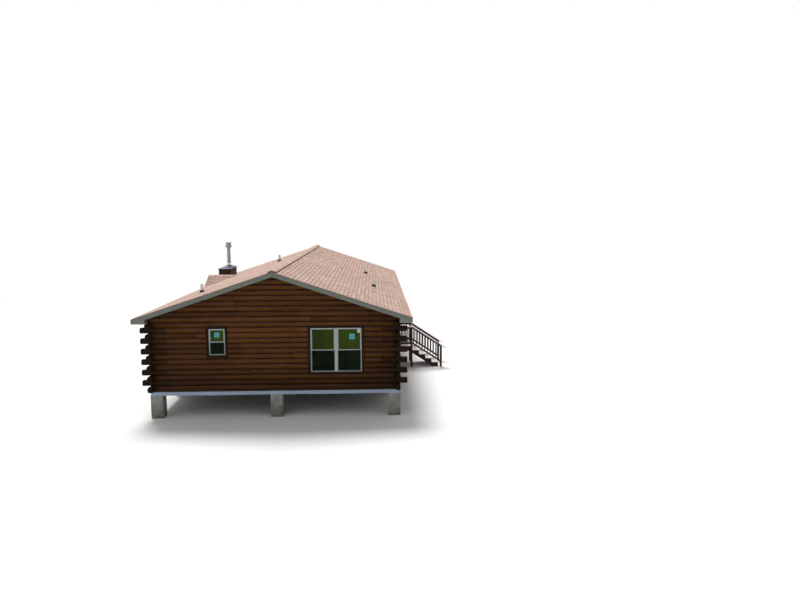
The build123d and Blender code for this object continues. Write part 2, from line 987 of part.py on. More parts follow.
def stair_stringers():
    """Notched boards that carry the treads, hung on the landing and standing on the ground."""
    treads = stair_risers - 1
    cut = stringer_depth * hypot(1, stair_slope)
    points = [(landing_x, landing_top - stair_rise - tread_thickness)]
    for i in range(1, treads + 1):
        level = landing_top - i * stair_rise - tread_thickness
        points.append((landing_x + i * stair_going, level))
        if i < treads:
            points.append((landing_x + i * stair_going, level - stair_rise))
    points.append((landing_x + treads * stair_going, 0.0))
    nosing_drop = landing_top - tread_thickness - cut
    points.append((landing_x + nosing_drop / stair_slope, 0.0))
    points.append((landing_x, nosing_drop))
    spread = stair_width - post_size - joist_thickness
    with BuildPart() as stringers:
        for step in (-1, 0, 1):
            offset = door_centre + step * spread / 2
            with BuildSketch(Plane.XZ.offset(-offset)):
                Polygon(*points, align=None)
            extrude(amount=joist_thickness / 2, both=True)
    return stringers


def stair_treads():
    """Two boards to each tread, with a small nosing."""
    with BuildPart() as treads:
        for i in range(1, stair_risers):
            back = landing_x + (i - 1) * stair_going
            depth = (stair_going + tread_nosing - board_gap) / 2
            with BuildSketch(Plane.XY.offset(landing_top - i * stair_rise - tread_thickness)):
                for j in range(2):
                    with Locations((back + j * (depth + board_gap), door_centre)):
                        Rectangle(depth, stair_width - post_size, align=(Align.MIN, Align.CENTER))
            extrude(amount=tread_thickness)
    return treads


def rail_outline(top, depth, start, end):
    """A rail seen from the front: level over the landing, then down with the stair."""
    with BuildSketch() as outline:
        Polygon(
            (start, top),
            (landing_x, top),
            (end, top - stair_line(end)),
            (end, top - stair_line(end) - depth),
            (landing_x, top - depth),
            (start, top - depth),
            align=None,
        )
    return outline.sketch


def stair_railings():
    """A railing on each side: cap, top rail, bottom rail and balusters, on the inside of the posts."""
    start = half_width + trim_proud + rail_clearance
    end = half_width + rail_end
    under_cap = rail_top - cap_thickness
    bottom_top = landing_top + bottom_rail_gap + rail_depth
    count = int((end - start) // baluster_spacing)
    with BuildPart() as railings:
        for side in (-1, 1):
            post_face = door_centre + side * (post_y - post_size / 2)
            inside = -side
            with BuildPart(mode=Mode.PRIVATE) as railing:
                with BuildSketch(Plane.XZ.offset(-(door_centre + side * post_y))):
                    add(rail_outline(rail_top, cap_thickness, start, end))
                extrude(amount=cap_width / 2, both=True)
                with BuildSketch(Plane.XZ.offset(-post_face)):
                    add(rail_outline(under_cap, rail_depth, start, newel_x))
                    add(rail_outline(bottom_top, rail_depth, start, newel_x))
                extrude(amount=-inside * joist_thickness)
                with BuildSketch(Plane.XZ.offset(-post_face)):
                    for i in range(1, count):
                        x = start + i * baluster_spacing
                        if x < newel_x - baluster_size:
                            low = bottom_top - rail_depth / 2 - stair_line(x)
                            high = under_cap - rail_depth / 2 - stair_line(x)
                            with Locations((x, (low + high) / 2)):
                                Rectangle(baluster_size, high - low)
                extrude(amount=-inside * baluster_size)
            add(railing.part)
    return railings


os.makedirs("parts", exist_ok=True)

side_plate = wall_length - 2 * log_thickness
save(block_piers(), "block_piers")
save(floor_rim(), "floor_rim")
save(floor_joists(), "floor_joists")
save(floor_sheet(floor_height - deck_thickness, deck_thickness), "floor_deck")
save(floor_sheet(rim_foot, belly_thickness), "belly_wrap")
save(log_wall("front", wall_width, 1), "front_wall")
save(log_wall("back", wall_width, 1), "back_wall")
save(log_wall("left", wall_length, 0, side_plate), "left_wall")
save(log_wall("right", wall_length, 0, side_plate, [door_opening]), "right_wall")
save(gable(FRONT), "front_gable")
save(gable(BACK), "back_gable")
save(ceiling_board(), "ceiling")
save(roof_rafters(), "roof_rafters")
save(roof_slope_panel(-1), "roof_left")
save(roof_slope_panel(1), "roof_right")
save(ridge_vent(), "ridge_vent")
save(rake_boards(), "rake_boards")
save(fascias(), "fascias")
save(soffits(), "soffits")
save(eave_returns(), "eave_returns")
save(drip_edge(), "drip_edge")
save(cross_gable_roof(), "cross_gable_roof")
save(cross_gable_face(), "cross_gable_face")
save(cross_gable_rake_boards(), "cross_gable_rake_boards")
save(chimney_chase(), "chimney_chase")
save(chase_cover(), "chase_cover")
save(flue_pipe(), "flue_pipe")
save(flue_cap(), "flue_cap")
save(vent_pipes(), "vent_pipes")
save(vent_flashings(), "vent_flashings")
for side_name in windows:
    save(window_frames(side_name), f"{side_name}_window_frames")
save(window_glass(), "window_glass")
save(opening_trim(), "opening_trim")
save(door_leaf(), "door_leaf")
save(door_frame(), "door_frame")
save(stair_posts(), "stair_posts")
save(landing_frame(), "landing_frame")
save(landing_boards(), "landing_boards")
save(stair_stringers(), "stair_stringers")
save(stair_treads(), "stair_treads")
save(stair_railings(), "stair_railings")
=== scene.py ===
# %% [markdown]
# # A log cabin, dressed
#
# The packed part gives the cabin's construction: every wall, board and pipe at its real size, in metres,
# with the front wall facing -Y and the feet of its piers at Z = 0. This lesson puts the looks on it. Nothing
# here moves a packed piece. Where a plain packed shape needs more than a finish, a new piece is worked out
# in numpy and stands in its place.

# %% Load the packed part
from functools import partial

import bmesh
import bpy
import numpy as np
from mathutils import Matrix, Vector


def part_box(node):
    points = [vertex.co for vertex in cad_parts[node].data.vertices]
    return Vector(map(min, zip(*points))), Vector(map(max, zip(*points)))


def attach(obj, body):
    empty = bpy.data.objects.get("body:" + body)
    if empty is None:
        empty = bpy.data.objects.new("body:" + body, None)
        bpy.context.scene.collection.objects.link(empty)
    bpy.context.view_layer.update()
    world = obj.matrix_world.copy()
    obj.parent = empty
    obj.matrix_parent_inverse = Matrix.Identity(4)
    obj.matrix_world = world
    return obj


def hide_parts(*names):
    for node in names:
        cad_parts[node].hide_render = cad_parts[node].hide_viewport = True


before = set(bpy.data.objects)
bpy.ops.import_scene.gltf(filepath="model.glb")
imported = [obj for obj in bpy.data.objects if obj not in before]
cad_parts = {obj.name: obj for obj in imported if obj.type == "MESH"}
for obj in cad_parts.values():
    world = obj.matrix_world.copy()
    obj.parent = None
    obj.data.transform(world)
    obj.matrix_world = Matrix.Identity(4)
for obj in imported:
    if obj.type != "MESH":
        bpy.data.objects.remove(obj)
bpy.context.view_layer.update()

# %% [markdown]
# ## The viewing angle
#
# The photograph was taken from the air, well in front of the right half of the front wall, looking a little
# down. A pinhole camera was fitted to the corners of the cabin. Its numbers say where it stands, how far it
# is pitched down, yawed to the right and rolled, and its focal length in pixels of the 800 pixel wide
# picture.

# %% Camera
picture_width = 800
focal_pixels = 646.91
camera_place = Vector((3.2886, -29.8868, 6.8256))
pitch_down, yaw_right, roll = np.radians((7.610, 2.386, -0.088))


def put_in_scene(name, data):
    made = bpy.data.objects.new(name, data)
    bpy.context.scene.collection.objects.link(made)
    return made


camera_data = bpy.data.cameras.new("photo_camera")
camera_data.sensor_width = 36.0
camera_data.lens = focal_pixels / picture_width * camera_data.sensor_width
camera_data.clip_end = 1000.0
camera = put_in_scene("photo_camera", camera_data)
stand = Matrix.Translation(camera_place)
for angle, axis in ((-yaw_right, "Z"), (np.pi / 2 - pitch_down, "X"), (roll, "Z")):
    stand = stand @ Matrix.Rotation(angle, 4, axis)
camera.matrix_world = stand
bpy.context.scene.camera = camera
print("camera lens", round(camera_data.lens, 2), "mm")

# %% [markdown]
# ## Mixing a finish
#
# Every finish is a small graph of texture nodes in front of one shader. Written out node by node such
# graphs are long, so these two classes keep the graph being mixed, and most of their methods add a node and
# hand back what it gives out. Wood needs its grain to run along each board, whichever way the board lies,
# so new pieces carry three values at every point: `grain`, the place in the board's own axes with X along
# it, `tone`, one random number a board, and `stain`, how far the finish turns to a second
# colour: darker at joints and where it was brushed more, painted shade in places, and on the handrails a
# pale wear that is partly a painted highlight.

# %% Helpers for materials


class Graph:
    """A node graph being mixed. Its inputs take a number, a colour or what another node gives out."""

    def __init__(self, tree):
        self.tree = tree

    def feed(self, socket, value):
        if isinstance(value, bpy.types.NodeSocket):
            self.tree.links.new(value, socket)
        else:
            socket.default_value = (*value, 1.0) if socket.type == "RGBA" else value

    def node(self, kind, out=0, settings=(), numbered=(), **named):
        """Adds a node, with its settings and what goes into its sockets, by their numbers or their names."""
        made = self.tree.nodes.new("ShaderNode" + kind)
        for name, value in dict(settings).items():
            setattr(made, name, value)
        for number, value in enumerate(numbered):
            self.feed(made.inputs[number], value)
        for name, value in named.items():
            self.feed(made.inputs[name.replace("_", " ")], value)
        return made.outputs[out]

    def math(self, operation, *values):
        return self.node("Math", 0, {"operation": operation}, values)

    def plus(self, first, second):
        return self.math("ADD", first, second)

    def times(self, first, second):
        return self.math("MULTIPLY", first, second)

    def most(self, first, second):
        return self.math("MAXIMUM", first, second)

    def spread(self, value, low, high, start=0.0, end=1.0):
        """Value from low to high becomes start to end, and stays there beyond."""
        return self.node("MapRange", Value=value, From_Min=low, From_Max=high, To_Min=start, To_Max=end)

    def seen_directly(self):
        """1 where a camera, mirror or glass ray asks for the colour, and 0 for light that bounces."""
        rays = self.node("LightPath").node.outputs
        camera, mirror, glass = (rays[f"Is {kind} Ray"] for kind in ("Camera", "Glossy", "Transmission"))
        return self.most(self.most(camera, mirror), glass)


class Finish(Graph):
    """A material being mixed."""

    def __init__(self, name, **sockets):
        self.material = bpy.data.materials.new(name)
        self.material.use_nodes = True
        super().__init__(self.material.node_tree)
        self.shader = self.tree.nodes["Principled BSDF"]
        self.set(**sockets)
        self.place = self.node("TexCoord", "Object")

    def set(self, **sockets):
        for name, value in sockets.items():
            self.feed(self.shader.inputs[name.replace("_", " ")], value)
        return self.material

    def carried(self, name, out="Fac"):
        return self.node("Attribute", out, {"attribute_name": name})

    def axes(self, vector):
        """X, Y and Z of a vector, as three sockets."""
        return self.node("SeparateXYZ", Vector=vector).node.outputs

    def upward(self):
        return self.axes(self.node("NewGeometry", "Normal"))[2]

    def noise(self, vector, scale=1.0, detail=3.0, roughness=0.55, stretch=None, shift=(0, 0, 0), **more):
        if stretch:
            vector = self.node("Mapping", Vector=vector, Scale=stretch, Location=shift)
        more.update(Vector=vector, Scale=scale, Detail=detail, Roughness=roughness)
        return self.node("TexNoise", "Fac", **more)

    def cells(self, vector, scale, out="Distance"):
        return self.node("TexVoronoi", out, Vector=vector, Scale=scale)

    def ramp(self, value, *stops):
        """A colour for each value: stops are (value, colour) pairs, and a single number is a grey."""
        socket = self.node("ValToRGB", Fac=value)
        bands = socket.node.color_ramp
        while len(bands.elements) < len(stops):
            bands.elements.new(1.0)
        for element, (at, colour) in zip(bands.elements, stops):
            element.position = at
            element.color = (*colour, 1.0) if isinstance(colour, tuple) else (colour, colour, colour, 1.0)
        return socket

    def mix(self, share, first, second, blend="MIX"):
        made = self.node("Mix", 2, {"data_type": "RGBA", "blend_type": blend}).node
        for number, value in ((0, share), (6, first), (7, second)):
            self.feed(made.inputs[number], value)
        return made.outputs[2]

    def tint(self, colour, value, *stops):
        """The colour times a ramp's colour."""
        return self.mix(1.0, colour, self.ramp(value, *stops), "MULTIPLY")

    def bump(self, height, distance, strength):
        return self.node("Bump", Height=height, Distance=distance, Strength=strength)


print("finishes are mixed with", [name for name in vars(Finish) if not name.startswith("_")])

# %% [markdown]
# ## Floor, light and background
#
# The cabin stands on a plain pale floor. A wide soft sun high behind its left shoulder, as in the
# photograph, keeps both slopes of the roof bright and the front wall in soft shade. The sky is an even pale
# grey. Far from the cabin the floor turns white for the camera alone, so that it runs into the white
# background without an edge, and nothing extra lights the cabin.

# %% Studio
floor_reach = 400.0
shade_reach = (16.0, 34.0)
sky_strength = 0.46


def studio_floor():
    finish = Finish("pale_floor", Roughness=0.9)
    grain = finish.noise(finish.place, 0.35, 5.0)
    finish.set(Base_Color=finish.ramp(grain, (0.3, (0.79, 0.79, 0.78)), (0.7, (0.82, 0.82, 0.81))))
    distance = finish.node("VectorMath", "Value", {"operation": "LENGTH"}, [finish.place])
    share = finish.times(finish.spread(distance, *shade_reach), finish.seen_directly())
    white = finish.node("Emission", Strength=1.0)
    surface = finish.node("MixShader", numbered=(share, finish.shader.outputs[0], white))
    finish.feed(finish.tree.nodes["Material Output"].inputs["Surface"], surface)
    mesh = bpy.data.meshes.new("studio_floor")
    corners = [(x * floor_reach, y * floor_reach, 0) for x, y in ((-1, -1), (1, -1), (1, 1), (-1, 1))]
    mesh.from_pydata(corners, [], [(0, 1, 2, 3)])
    mesh.materials.append(finish.material)
    put_in_scene("studio_floor", mesh)


def studio_sky():
    world = bpy.data.worlds.new("studio_sky")
    world.use_nodes = True
    bpy.context.scene.world = world
    sky = Graph(world.node_tree)
    background = sky.tree.nodes["Background"].inputs
    sky.feed(background["Color"], (1.0, 1.0, 1.0))
    sky.feed(background["Strength"], sky.spread(sky.seen_directly(), 0.0, 1.0, sky_strength, 1.0))


def sun(name, strength, towards, softness):
    data = bpy.data.lights.new(name, "SUN")
    data.energy = strength
    data.angle = np.radians(softness)
    lamp = put_in_scene(name, data)
    lamp.rotation_mode = "QUATERNION"
    lamp.rotation_quaternion = Vector(towards).to_track_quat("Z", "Y")


studio_floor()
studio_sky()
sun("soft_key", 3.1, (-0.16, 0.42, 0.95), 22.0)
sun("soft_fill", 0.15, (-0.55, -0.8, 0.6), 60.0)
bpy.context.scene.view_settings.view_transform = "Standard"
print("studio lit by", bpy.data.lights.keys())

# %% [markdown]
# ## From arrays to a piece
#
# Two families of shape make nearly everything here. A board is a box with its edges cut, and `boards` makes
# any number of them at once. A log or a rail is a ring of points carried along a path, and `skin` joins
# ring to ring; `closed_loop` does it where the path comes back to its start. Each returns plain arrays:
# points, groups of faces with equal corner counts, and what the finishes read at each point. `piece` joins
# such shapes into one mesh, gives it a finish, and lets it ride with the packed part. One seeded generator
# gives all the random numbers, so every run is the same. Each board's grain starts at a random place within
# 9 m, as if all were sawn from one great timber.

# %% Meshes from arrays
chance = np.random.default_rng(28)
grain_span = 9.0


def signed_volume(points, groups):
    """Six times the volume inside the faces: over their triangles, the sum of one corner dotted with the
    cross product of the other two. It comes out negative where the faces point inwards."""
    volume = 0.0
    for group in groups:
        for turn in range(1, group.shape[1] - 1):
            first, second, third = (points[group[:, i]] for i in (0, turn, turn + 1))
            volume += np.einsum("ij,ij->", first, np.cross(second, third))
    return volume


def write_values(mesh, values):
    """Each array, with a number or a vector for every point, becomes an attribute of the mesh."""
    for key, numbers in values.items():
        kind, field = ("FLOAT_VECTOR", "vector") if numbers.ndim == 2 else ("FLOAT", "value")
        mesh.attributes.new(key, kind, "POINT").data.foreach_set(field, numbers.astype(np.float32).ravel())


def joined(name, shapes):
    """One flat-shaded mesh from several shapes. A shape whose faces point inwards, as a mirrored one does,
    has them all turned."""
    points, groups, start = [], [], 0
    for shape_points, shape_groups, _ in shapes:
        way = -1 if signed_volume(shape_points, shape_groups) < 0 else 1
        groups += [group[:, ::way] + start for group in shape_groups]
        points.append(shape_points)
        start += len(shape_points)
    corners = np.concatenate([group.ravel() for group in groups])
    counts = np.concatenate([np.full(len(group), group.shape[1]) for group in groups])
    mesh = bpy.data.meshes.new(name)
    mesh.vertices.add(start)
    mesh.vertices.foreach_set("co", np.concatenate(points).astype(np.float32).ravel())
    mesh.loops.add(len(corners))
    mesh.loops.foreach_set("vertex_index", corners.astype(np.int32))
    mesh.polygons.add(len(counts))
    mesh.polygons.foreach_set("loop_start", (np.cumsum(counts) - counts).astype(np.int32))
    mesh.update(calc_edges=True)
    mesh.shade_flat()
    write_values(mesh, {key: np.concatenate([shape[2][key] for shape in shapes]) for key in shapes[0][2]})
    return mesh


def put_in(name, mesh, material, stands_for=None):
    """Makes the mesh a piece that rides with the cabin, in the place of the packed piece that it stands
    for."""
    mesh.materials.clear()
    mesh.materials.append(material)
    made = put_in_scene(name, mesh)
    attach(made, "root")
    if stands_for:
        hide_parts(stands_for)
    print(name, len(mesh.polygons), "faces")


def piece(name, shapes, material, stands_for=None, rounded=None):
    """One object from several shapes. Rounded is the angle, in degrees, under which neighbouring faces
    shade as one smooth surface."""
    mesh = joined(name, shapes)
    if rounded:
        mesh.shade_smooth()
        mesh.set_sharp_from_angle(angle=np.radians(rounded))
    put_in(name, mesh, material, stands_for)


def stacked(*parts):
    """Numbers or arrays as the last axis of one array, stretched to the same size first."""
    return np.stack(np.broadcast_arrays(*parts), -1)


def carried_values(points, grain, each, tone=None, stain=0.0):
    """What the finishes read at each point, for boards or logs of `each` points: tone is random unless it
    is given."""
    count = len(points) // each
    tone = chance.random(count) if tone is None else np.broadcast_to(tone, count)
    stain = np.asarray(stain, float)
    full = stain.ravel() if stain.size == len(points) else np.repeat(np.broadcast_to(stain, count), each)
    return {"grain": grain.reshape(-1, 3), "tone": np.repeat(tone, each), "stain": full}


# %% [markdown]
# A board's corner has three points, one on each side that meets there, each held back from the other two
# sides by the width of the cut edge. So a board is 24 points: six sides, twelve narrow edges and eight
# small triangles, which catch the light as real cut boards do. Where boards are too many or too thin for
# that, they are left as plain boxes.

# %% Boards
signs = np.array([(x, y, z) for x in (-1, 1) for y in (-1, 1) for z in (-1, 1)], float)
three_signs = np.repeat(signs, 3, axis=0)
own_axis = np.tile(np.eye(3), (8, 1))


def outward(faces, points):
    """Turns each face of a shape round the origin so that its normal points away from the origin."""
    first, second, third = (points[faces[:, i]] for i in (0, 1, 2))
    inward = np.einsum("ij,ij->i", np.cross(second - first, third - first), first + second + third) < 0
    return np.where(inward[:, None], faces[:, ::-1], faces)


def corners_at(*fixed):
    """Numbers of the corners whose signs on the given axes are as fixed says, as (axis, sign) pairs."""
    return [i for i in range(8) if all(signs[i, axis] == sign for axis, sign in fixed)]


def square_sides():
    """The four corners of each side, in order round it, with the side's axis."""
    pairs = [(axis, sign) for axis in range(3) for sign in (-1, 1)]
    return [(np.array(corners_at(pair))[[0, 1, 3, 2]], pair[0]) for pair in pairs]


def cut_box_faces():
    """Faces between the 24 points of a cut box; point 3c + a is corner c's point on the side square to axis
    a."""
    faces = [[3 * i + axis for i in corners] for corners, axis in square_sides()]
    for axis, other in ((0, 1), (0, 2), (1, 2)):
        for a, b in (corners_at((axis, sign), (other, turned)) for sign in (-1, 1) for turned in (-1, 1)):
            faces.append([3 * a + axis, 3 * b + axis, 3 * b + other, 3 * a + other])
    small = 3 * np.arange(8)[:, None] + np.arange(3)
    sample = three_signs * (0.8 + 0.2 * own_axis)
    return [outward(np.array(faces), sample), outward(small, sample)]


box_shapes = {
    True: (three_signs, 1.0 - own_axis, cut_box_faces()),
    False: (signs, np.zeros((8, 3)), [outward(np.array([corners for corners, _ in square_sides()]), signs)]),
}
along_x = np.eye(3)
along_y = np.array([(0, 1, 0), (-1, 0, 0), (0, 0, 1)], float)
along_z = np.array([(0, 0, 1), (1, 0, 0), (0, 1, 0)], float)


def boards(centres, sizes, axes=along_x, edge=0.003, tone=None, stain=0.0):
    """Boxes with cut edges: each point is the centre plus, on each of the board's own axes, the corner's
    sign times (half the size less the cut), times the axis. Axes are rows: along, across and through the
    board."""
    centres = np.atleast_2d(np.asarray(centres, float))
    sizes = np.broadcast_to(np.asarray(sizes, float), centres.shape)
    corners, cut, faces = box_shapes[edge > 0]
    local = corners * (sizes[:, None] / 2 - cut * edge)
    points = (centres[:, None] + local @ axes).reshape(-1, 3)
    each = len(corners)
    starts = each * np.arange(len(centres))[:, None, None]
    groups = [(group + starts).reshape(-1, group.shape[1]) for group in faces]
    shift = chance.random((len(centres), 1, 3)) * grain_span
    return points, groups, carried_values(points, local + shift, each, tone, stain)


def boxes_between(*lows_and_highs, stain=0.0):
    """Plain boxes, each from one corner to the opposite one."""
    low, high = (np.array(ends, float) for ends in zip(*lows_and_highs))
    return boards((low + high) / 2, np.abs(high - low), edge=0, stain=stain)


def skin(rings, grain=None, tone=None, stain=0.0):
    """Joins ring to ring: rings is (pieces, stations, corners, 3). A face has two neighbouring points of
    one ring and the same two of the next. The first and last ring are closed with one face each."""
    count, stations, corners = rings.shape[:3]
    index = np.arange(count * stations * corners).reshape(count, stations, corners)
    after = np.roll(index, -1, axis=2)
    sides = np.stack([index[:, :-1], after[:, :-1], after[:, 1:], index[:, 1:]], -1).reshape(-1, 4)
    points = rings.reshape(-1, 3)
    if grain is None:
        grain = rings + chance.random((count, 1, 1, 3)) * grain_span
    values = carried_values(points, grain, stations * corners, tone, stain)
    return points, [sides, index[:, 0, ::-1], index[:, -1]], values


def closed_loop(rings, grain):
    """Joins ring to ring and the last ring to the first: rings is (stations, corners, 3)."""
    stations, corners = rings.shape[:2]
    index = np.arange(stations * corners).reshape(stations, corners)
    ahead, after = np.roll(index, -1, axis=0), np.roll(index, -1, axis=1)
    faces = np.stack([index, after, np.roll(ahead, -1, axis=1), ahead], -1).reshape(-1, 4)
    points = rings.reshape(-1, 3)
    return points, [faces], carried_values(points, grain, len(points))


def turned(profile, centre, sides=64):
    """A closed outline (radius, height) carried once round an upright axis: x and y are the radius times
    the cosine and sine of the angle."""
    radius, height = np.array(profile, float).T
    angle = np.linspace(0, 2 * np.pi, sides, endpoint=False)[:, None]
    local = stacked(radius * np.cos(angle), radius * np.sin(angle), height)
    return closed_loop(local + centre, local)


print("a cut board has", sum(len(group) for group in box_shapes[True][2]), "faces")

# %% [markdown]
# ## The cabin's measures
#
# The packed part says where the floor is, how tall the walls are and where the roof's edges run, so these
# are read from its boxes. The height of a log and the places of the windows are set here again, as a
# carpenter would copy them from the drawing. Seen from outside, each wall has its own axes: along it to the
# right, up, and outwards.

# %% Measures
walls_low, walls_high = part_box("front_wall")
floor_z = walls_low.z
log_height = 0.178
log_thickness = 0.165
log_rounding = 0.027
tail_length = 0.235
half_width = walls_high.x - tail_length
half_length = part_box("left_wall")[1].y - tail_length
course_count = round((walls_high.z - floor_z) / log_height)

trim_reach = 0.077
door_hole = (-0.865, 0.984, 2.099)
window_head = door_hole[2] + 0.006

small, twin = (0.560, 0.915), (1.733, 1.524)
walls = {
    "front": ((0, -1, 0), half_length, half_width, [(-1.917, small), (2.033, twin)]),
    "back": ((0, 1, 0), half_length, half_width, [(1.917, small), (-2.033, twin)]),
    "left": ((-1, 0, 0), half_width, half_length, [(5.6, twin), (-1.41, twin), (-7.3, small)]),
    "right": ((1, 0, 0), half_width, half_length, [(-5.6, twin), (1.9, small), (5.6, twin)]),
}
house_sides = tuple(walls)


def wall_axes(side):
    """A board's axes when it lies along this wall: along to the right, up and outwards."""
    out = np.array(walls[side][0], float)
    return np.array((np.cross((0, 0, 1), out), (0, 0, 1), out))


def on_wall(side, along, up, out):
    """Points at these distances along and up from the middle of the wall's foot, and out from the logs'
    crests."""
    axes = wall_axes(side)
    return axes[2] * walls[side][1] + (0, 0, floor_z) + stacked(along, up, out) @ axes


print(course_count, "courses of logs, walls", round(2 * half_width, 3), "by", round(2 * half_length, 3), "m")

# %% [markdown]
# ## Stained logs
#
# The logs are milled flat inside and round outside, and stained red-brown. The colour changes with the
# height on each round face, as painted light: grey-purple brown on its upper half as painted sky light,
# orange-brown on its lower half as painted light from the ground, and darkest at the grooves, which hold
# dirt. Every wall is painted darker near its foot, and the front wall at both ends, as painted shade. How
# far up its log a point lies is a fourth value, `level`, so the same finish works on every wall. Long noise
# along the grain gives the figure, a stretched cell pattern the knots, and thin dark lines the drying
# checks.

# %% Log finish
# Painted shade: every wall darkens towards its foot between these heights.
painted_shade_foot = floor_z
painted_shade_top = floor_z + 1.5


def wood_figure(finish, grain):
    """Streaks that run along the board: noise stretched by the ratio of its two scales."""
    return finish.noise(grain, detail=6.0, roughness=0.62, stretch=(1.2, 34.0, 34.0), Distortion=0.6)


def drying_checks(finish, grain):
    """Thin lines along the grain where a long narrow noise passes through its middle value."""
    lines = finish.noise(grain, detail=2.0, stretch=(0.55, 26.0, 26.0), shift=(3.1, 7.7, 1.3))
    near = finish.math("ABSOLUTE", finish.math("SUBTRACT", lines, 0.5))
    gate = finish.spread(finish.noise(grain, detail=1.0, stretch=(0.8, 5.0, 5.0)), 0.52, 0.60)
    return finish.times(finish.spread(near, 0.004, 0.016, 1.0, 0.0), gate)


def knots(finish, grain):
    """Dark ovals with a ring round them, from the distance to scattered cell centres."""
    near = finish.cells(finish.node("Mapping", Vector=grain, Scale=(2.1, 5.5, 5.5)), 1.0)
    return finish.spread(near, 0.07, 0.15, 1.0, 0.0)


def painted_shade_share(finish):
    """How much painted shade darkens the wall: most near its foot, and at both ends of the front wall, with
    soft edges, plus random soft patches that make it a little lighter or darker."""
    x, y, z = finish.axes(finish.place)
    patches = finish.spread(finish.noise(finish.place, 0.6, 4.0), 0.3, 0.7, -0.15, 0.15)
    low = finish.spread(z, painted_shade_foot, painted_shade_top, 0.75, 0.0)
    ends = finish.plus(finish.spread(x, 2.4, 3.6, 0.0, 0.55), finish.spread(x, -3.4, -0.8, 0.30, 0.0))
    in_front = finish.spread(y, -8.36, -8.0, 1.0, 0.0)
    return finish.plus(finish.plus(low, finish.times(ends, in_front)), patches)


def stained_log():
    """A colour by the level on the log, with painted sky light above and painted ground light below, times
    the figure, the tone and the painted shade; knots and checks lie over it, and the stain
    value leads from there to a nearly black brown."""
    finish = Finish("stained_log", Specular_IOR_Level=0.06)
    grain = finish.carried("grain", "Vector")
    wobble = finish.spread(finish.noise(grain, stretch=(1.5, 8.0, 8.0)), 0.3, 0.7, -0.07, 0.07)
    # Painted light: grey-purple brown on each log's upper half for sky light, orange-brown on the lower half
    # for light from the ground, darkest at the grooves.
    colour = finish.ramp(
        finish.plus(finish.carried("level"), wobble),
        (0.00, (0.020, 0.007, 0.002)),
        (0.12, (0.054, 0.021, 0.001)),
        (0.34, (0.078, 0.034, 0.004)),
        (0.54, (0.087, 0.035, 0.011)),
        (0.74, (0.094, 0.038, 0.022)),
        (0.92, (0.066, 0.025, 0.018)),
        (1.00, (0.018, 0.007, 0.003)),
    )
    figure = wood_figure(finish, grain)
    colour = finish.tint(colour, figure, (0.25, 0.62), (0.5, 1.0), (0.75, 1.28))
    tone = finish.carried("tone")
    colour = finish.tint(colour, tone, (0.0, (0.76, 0.74, 0.74)), (1.0, (1.22, 1.18, 1.10)))
    # Painted shade: darker near the foot of every wall and at both ends of the front wall.
    colour = finish.tint(colour, painted_shade_share(finish), (0.0, 1.0), (1.0, 0.42))
    colour = finish.mix(finish.times(knots(finish, grain), 0.75), colour, (0.026, 0.011, 0.005))
    checks = drying_checks(finish, grain)
    colour = finish.mix(finish.times(checks, 0.8), colour, (0.014, 0.006, 0.003))
    dark = finish.ramp(figure, (0.3, (0.004, 0.003, 0.001)), (0.7, (0.014, 0.009, 0.004)))
    return finish.set(
        Base_Color=finish.mix(finish.carried("stain"), colour, dark),
        Roughness=finish.spread(figure, 0.3, 0.7, 0.42, 0.62),
        Normal=finish.bump(finish.math("SUBTRACT", figure, finish.times(checks, 1.5)), 0.0025, 0.8),
    )


log_finish = stained_log()
print("log finish:", len(log_finish.node_tree.nodes), "texture and shader nodes")

# %% [markdown]
# A log's outline from the end is flat behind and round in front. With s running from -1 at its foot to 1 at
# its head, its front stands out by the rounding times (1 - |s|^2.4)^0.8, a fuller curve than a circle, so
# that the grooves are narrow and dark. Each log runs from one joint to the next. Where a window or its
# boards cross it, it is cut into blocks, some of them only part of its height, and where boards lie over
# it, its front is planed flat. The blocks of one log share its grain, which starts at a random place within
# 40 m.

# %% Logs from outlines
joint_depth = 0.006
log_ease = 0.005
log_span = 40
front_points, back_points, log_stations = 13, 2, 4
shortest_log, longest_log = 2.6, 4.8
shortest_first, shortest_last = 1.2, 1.0


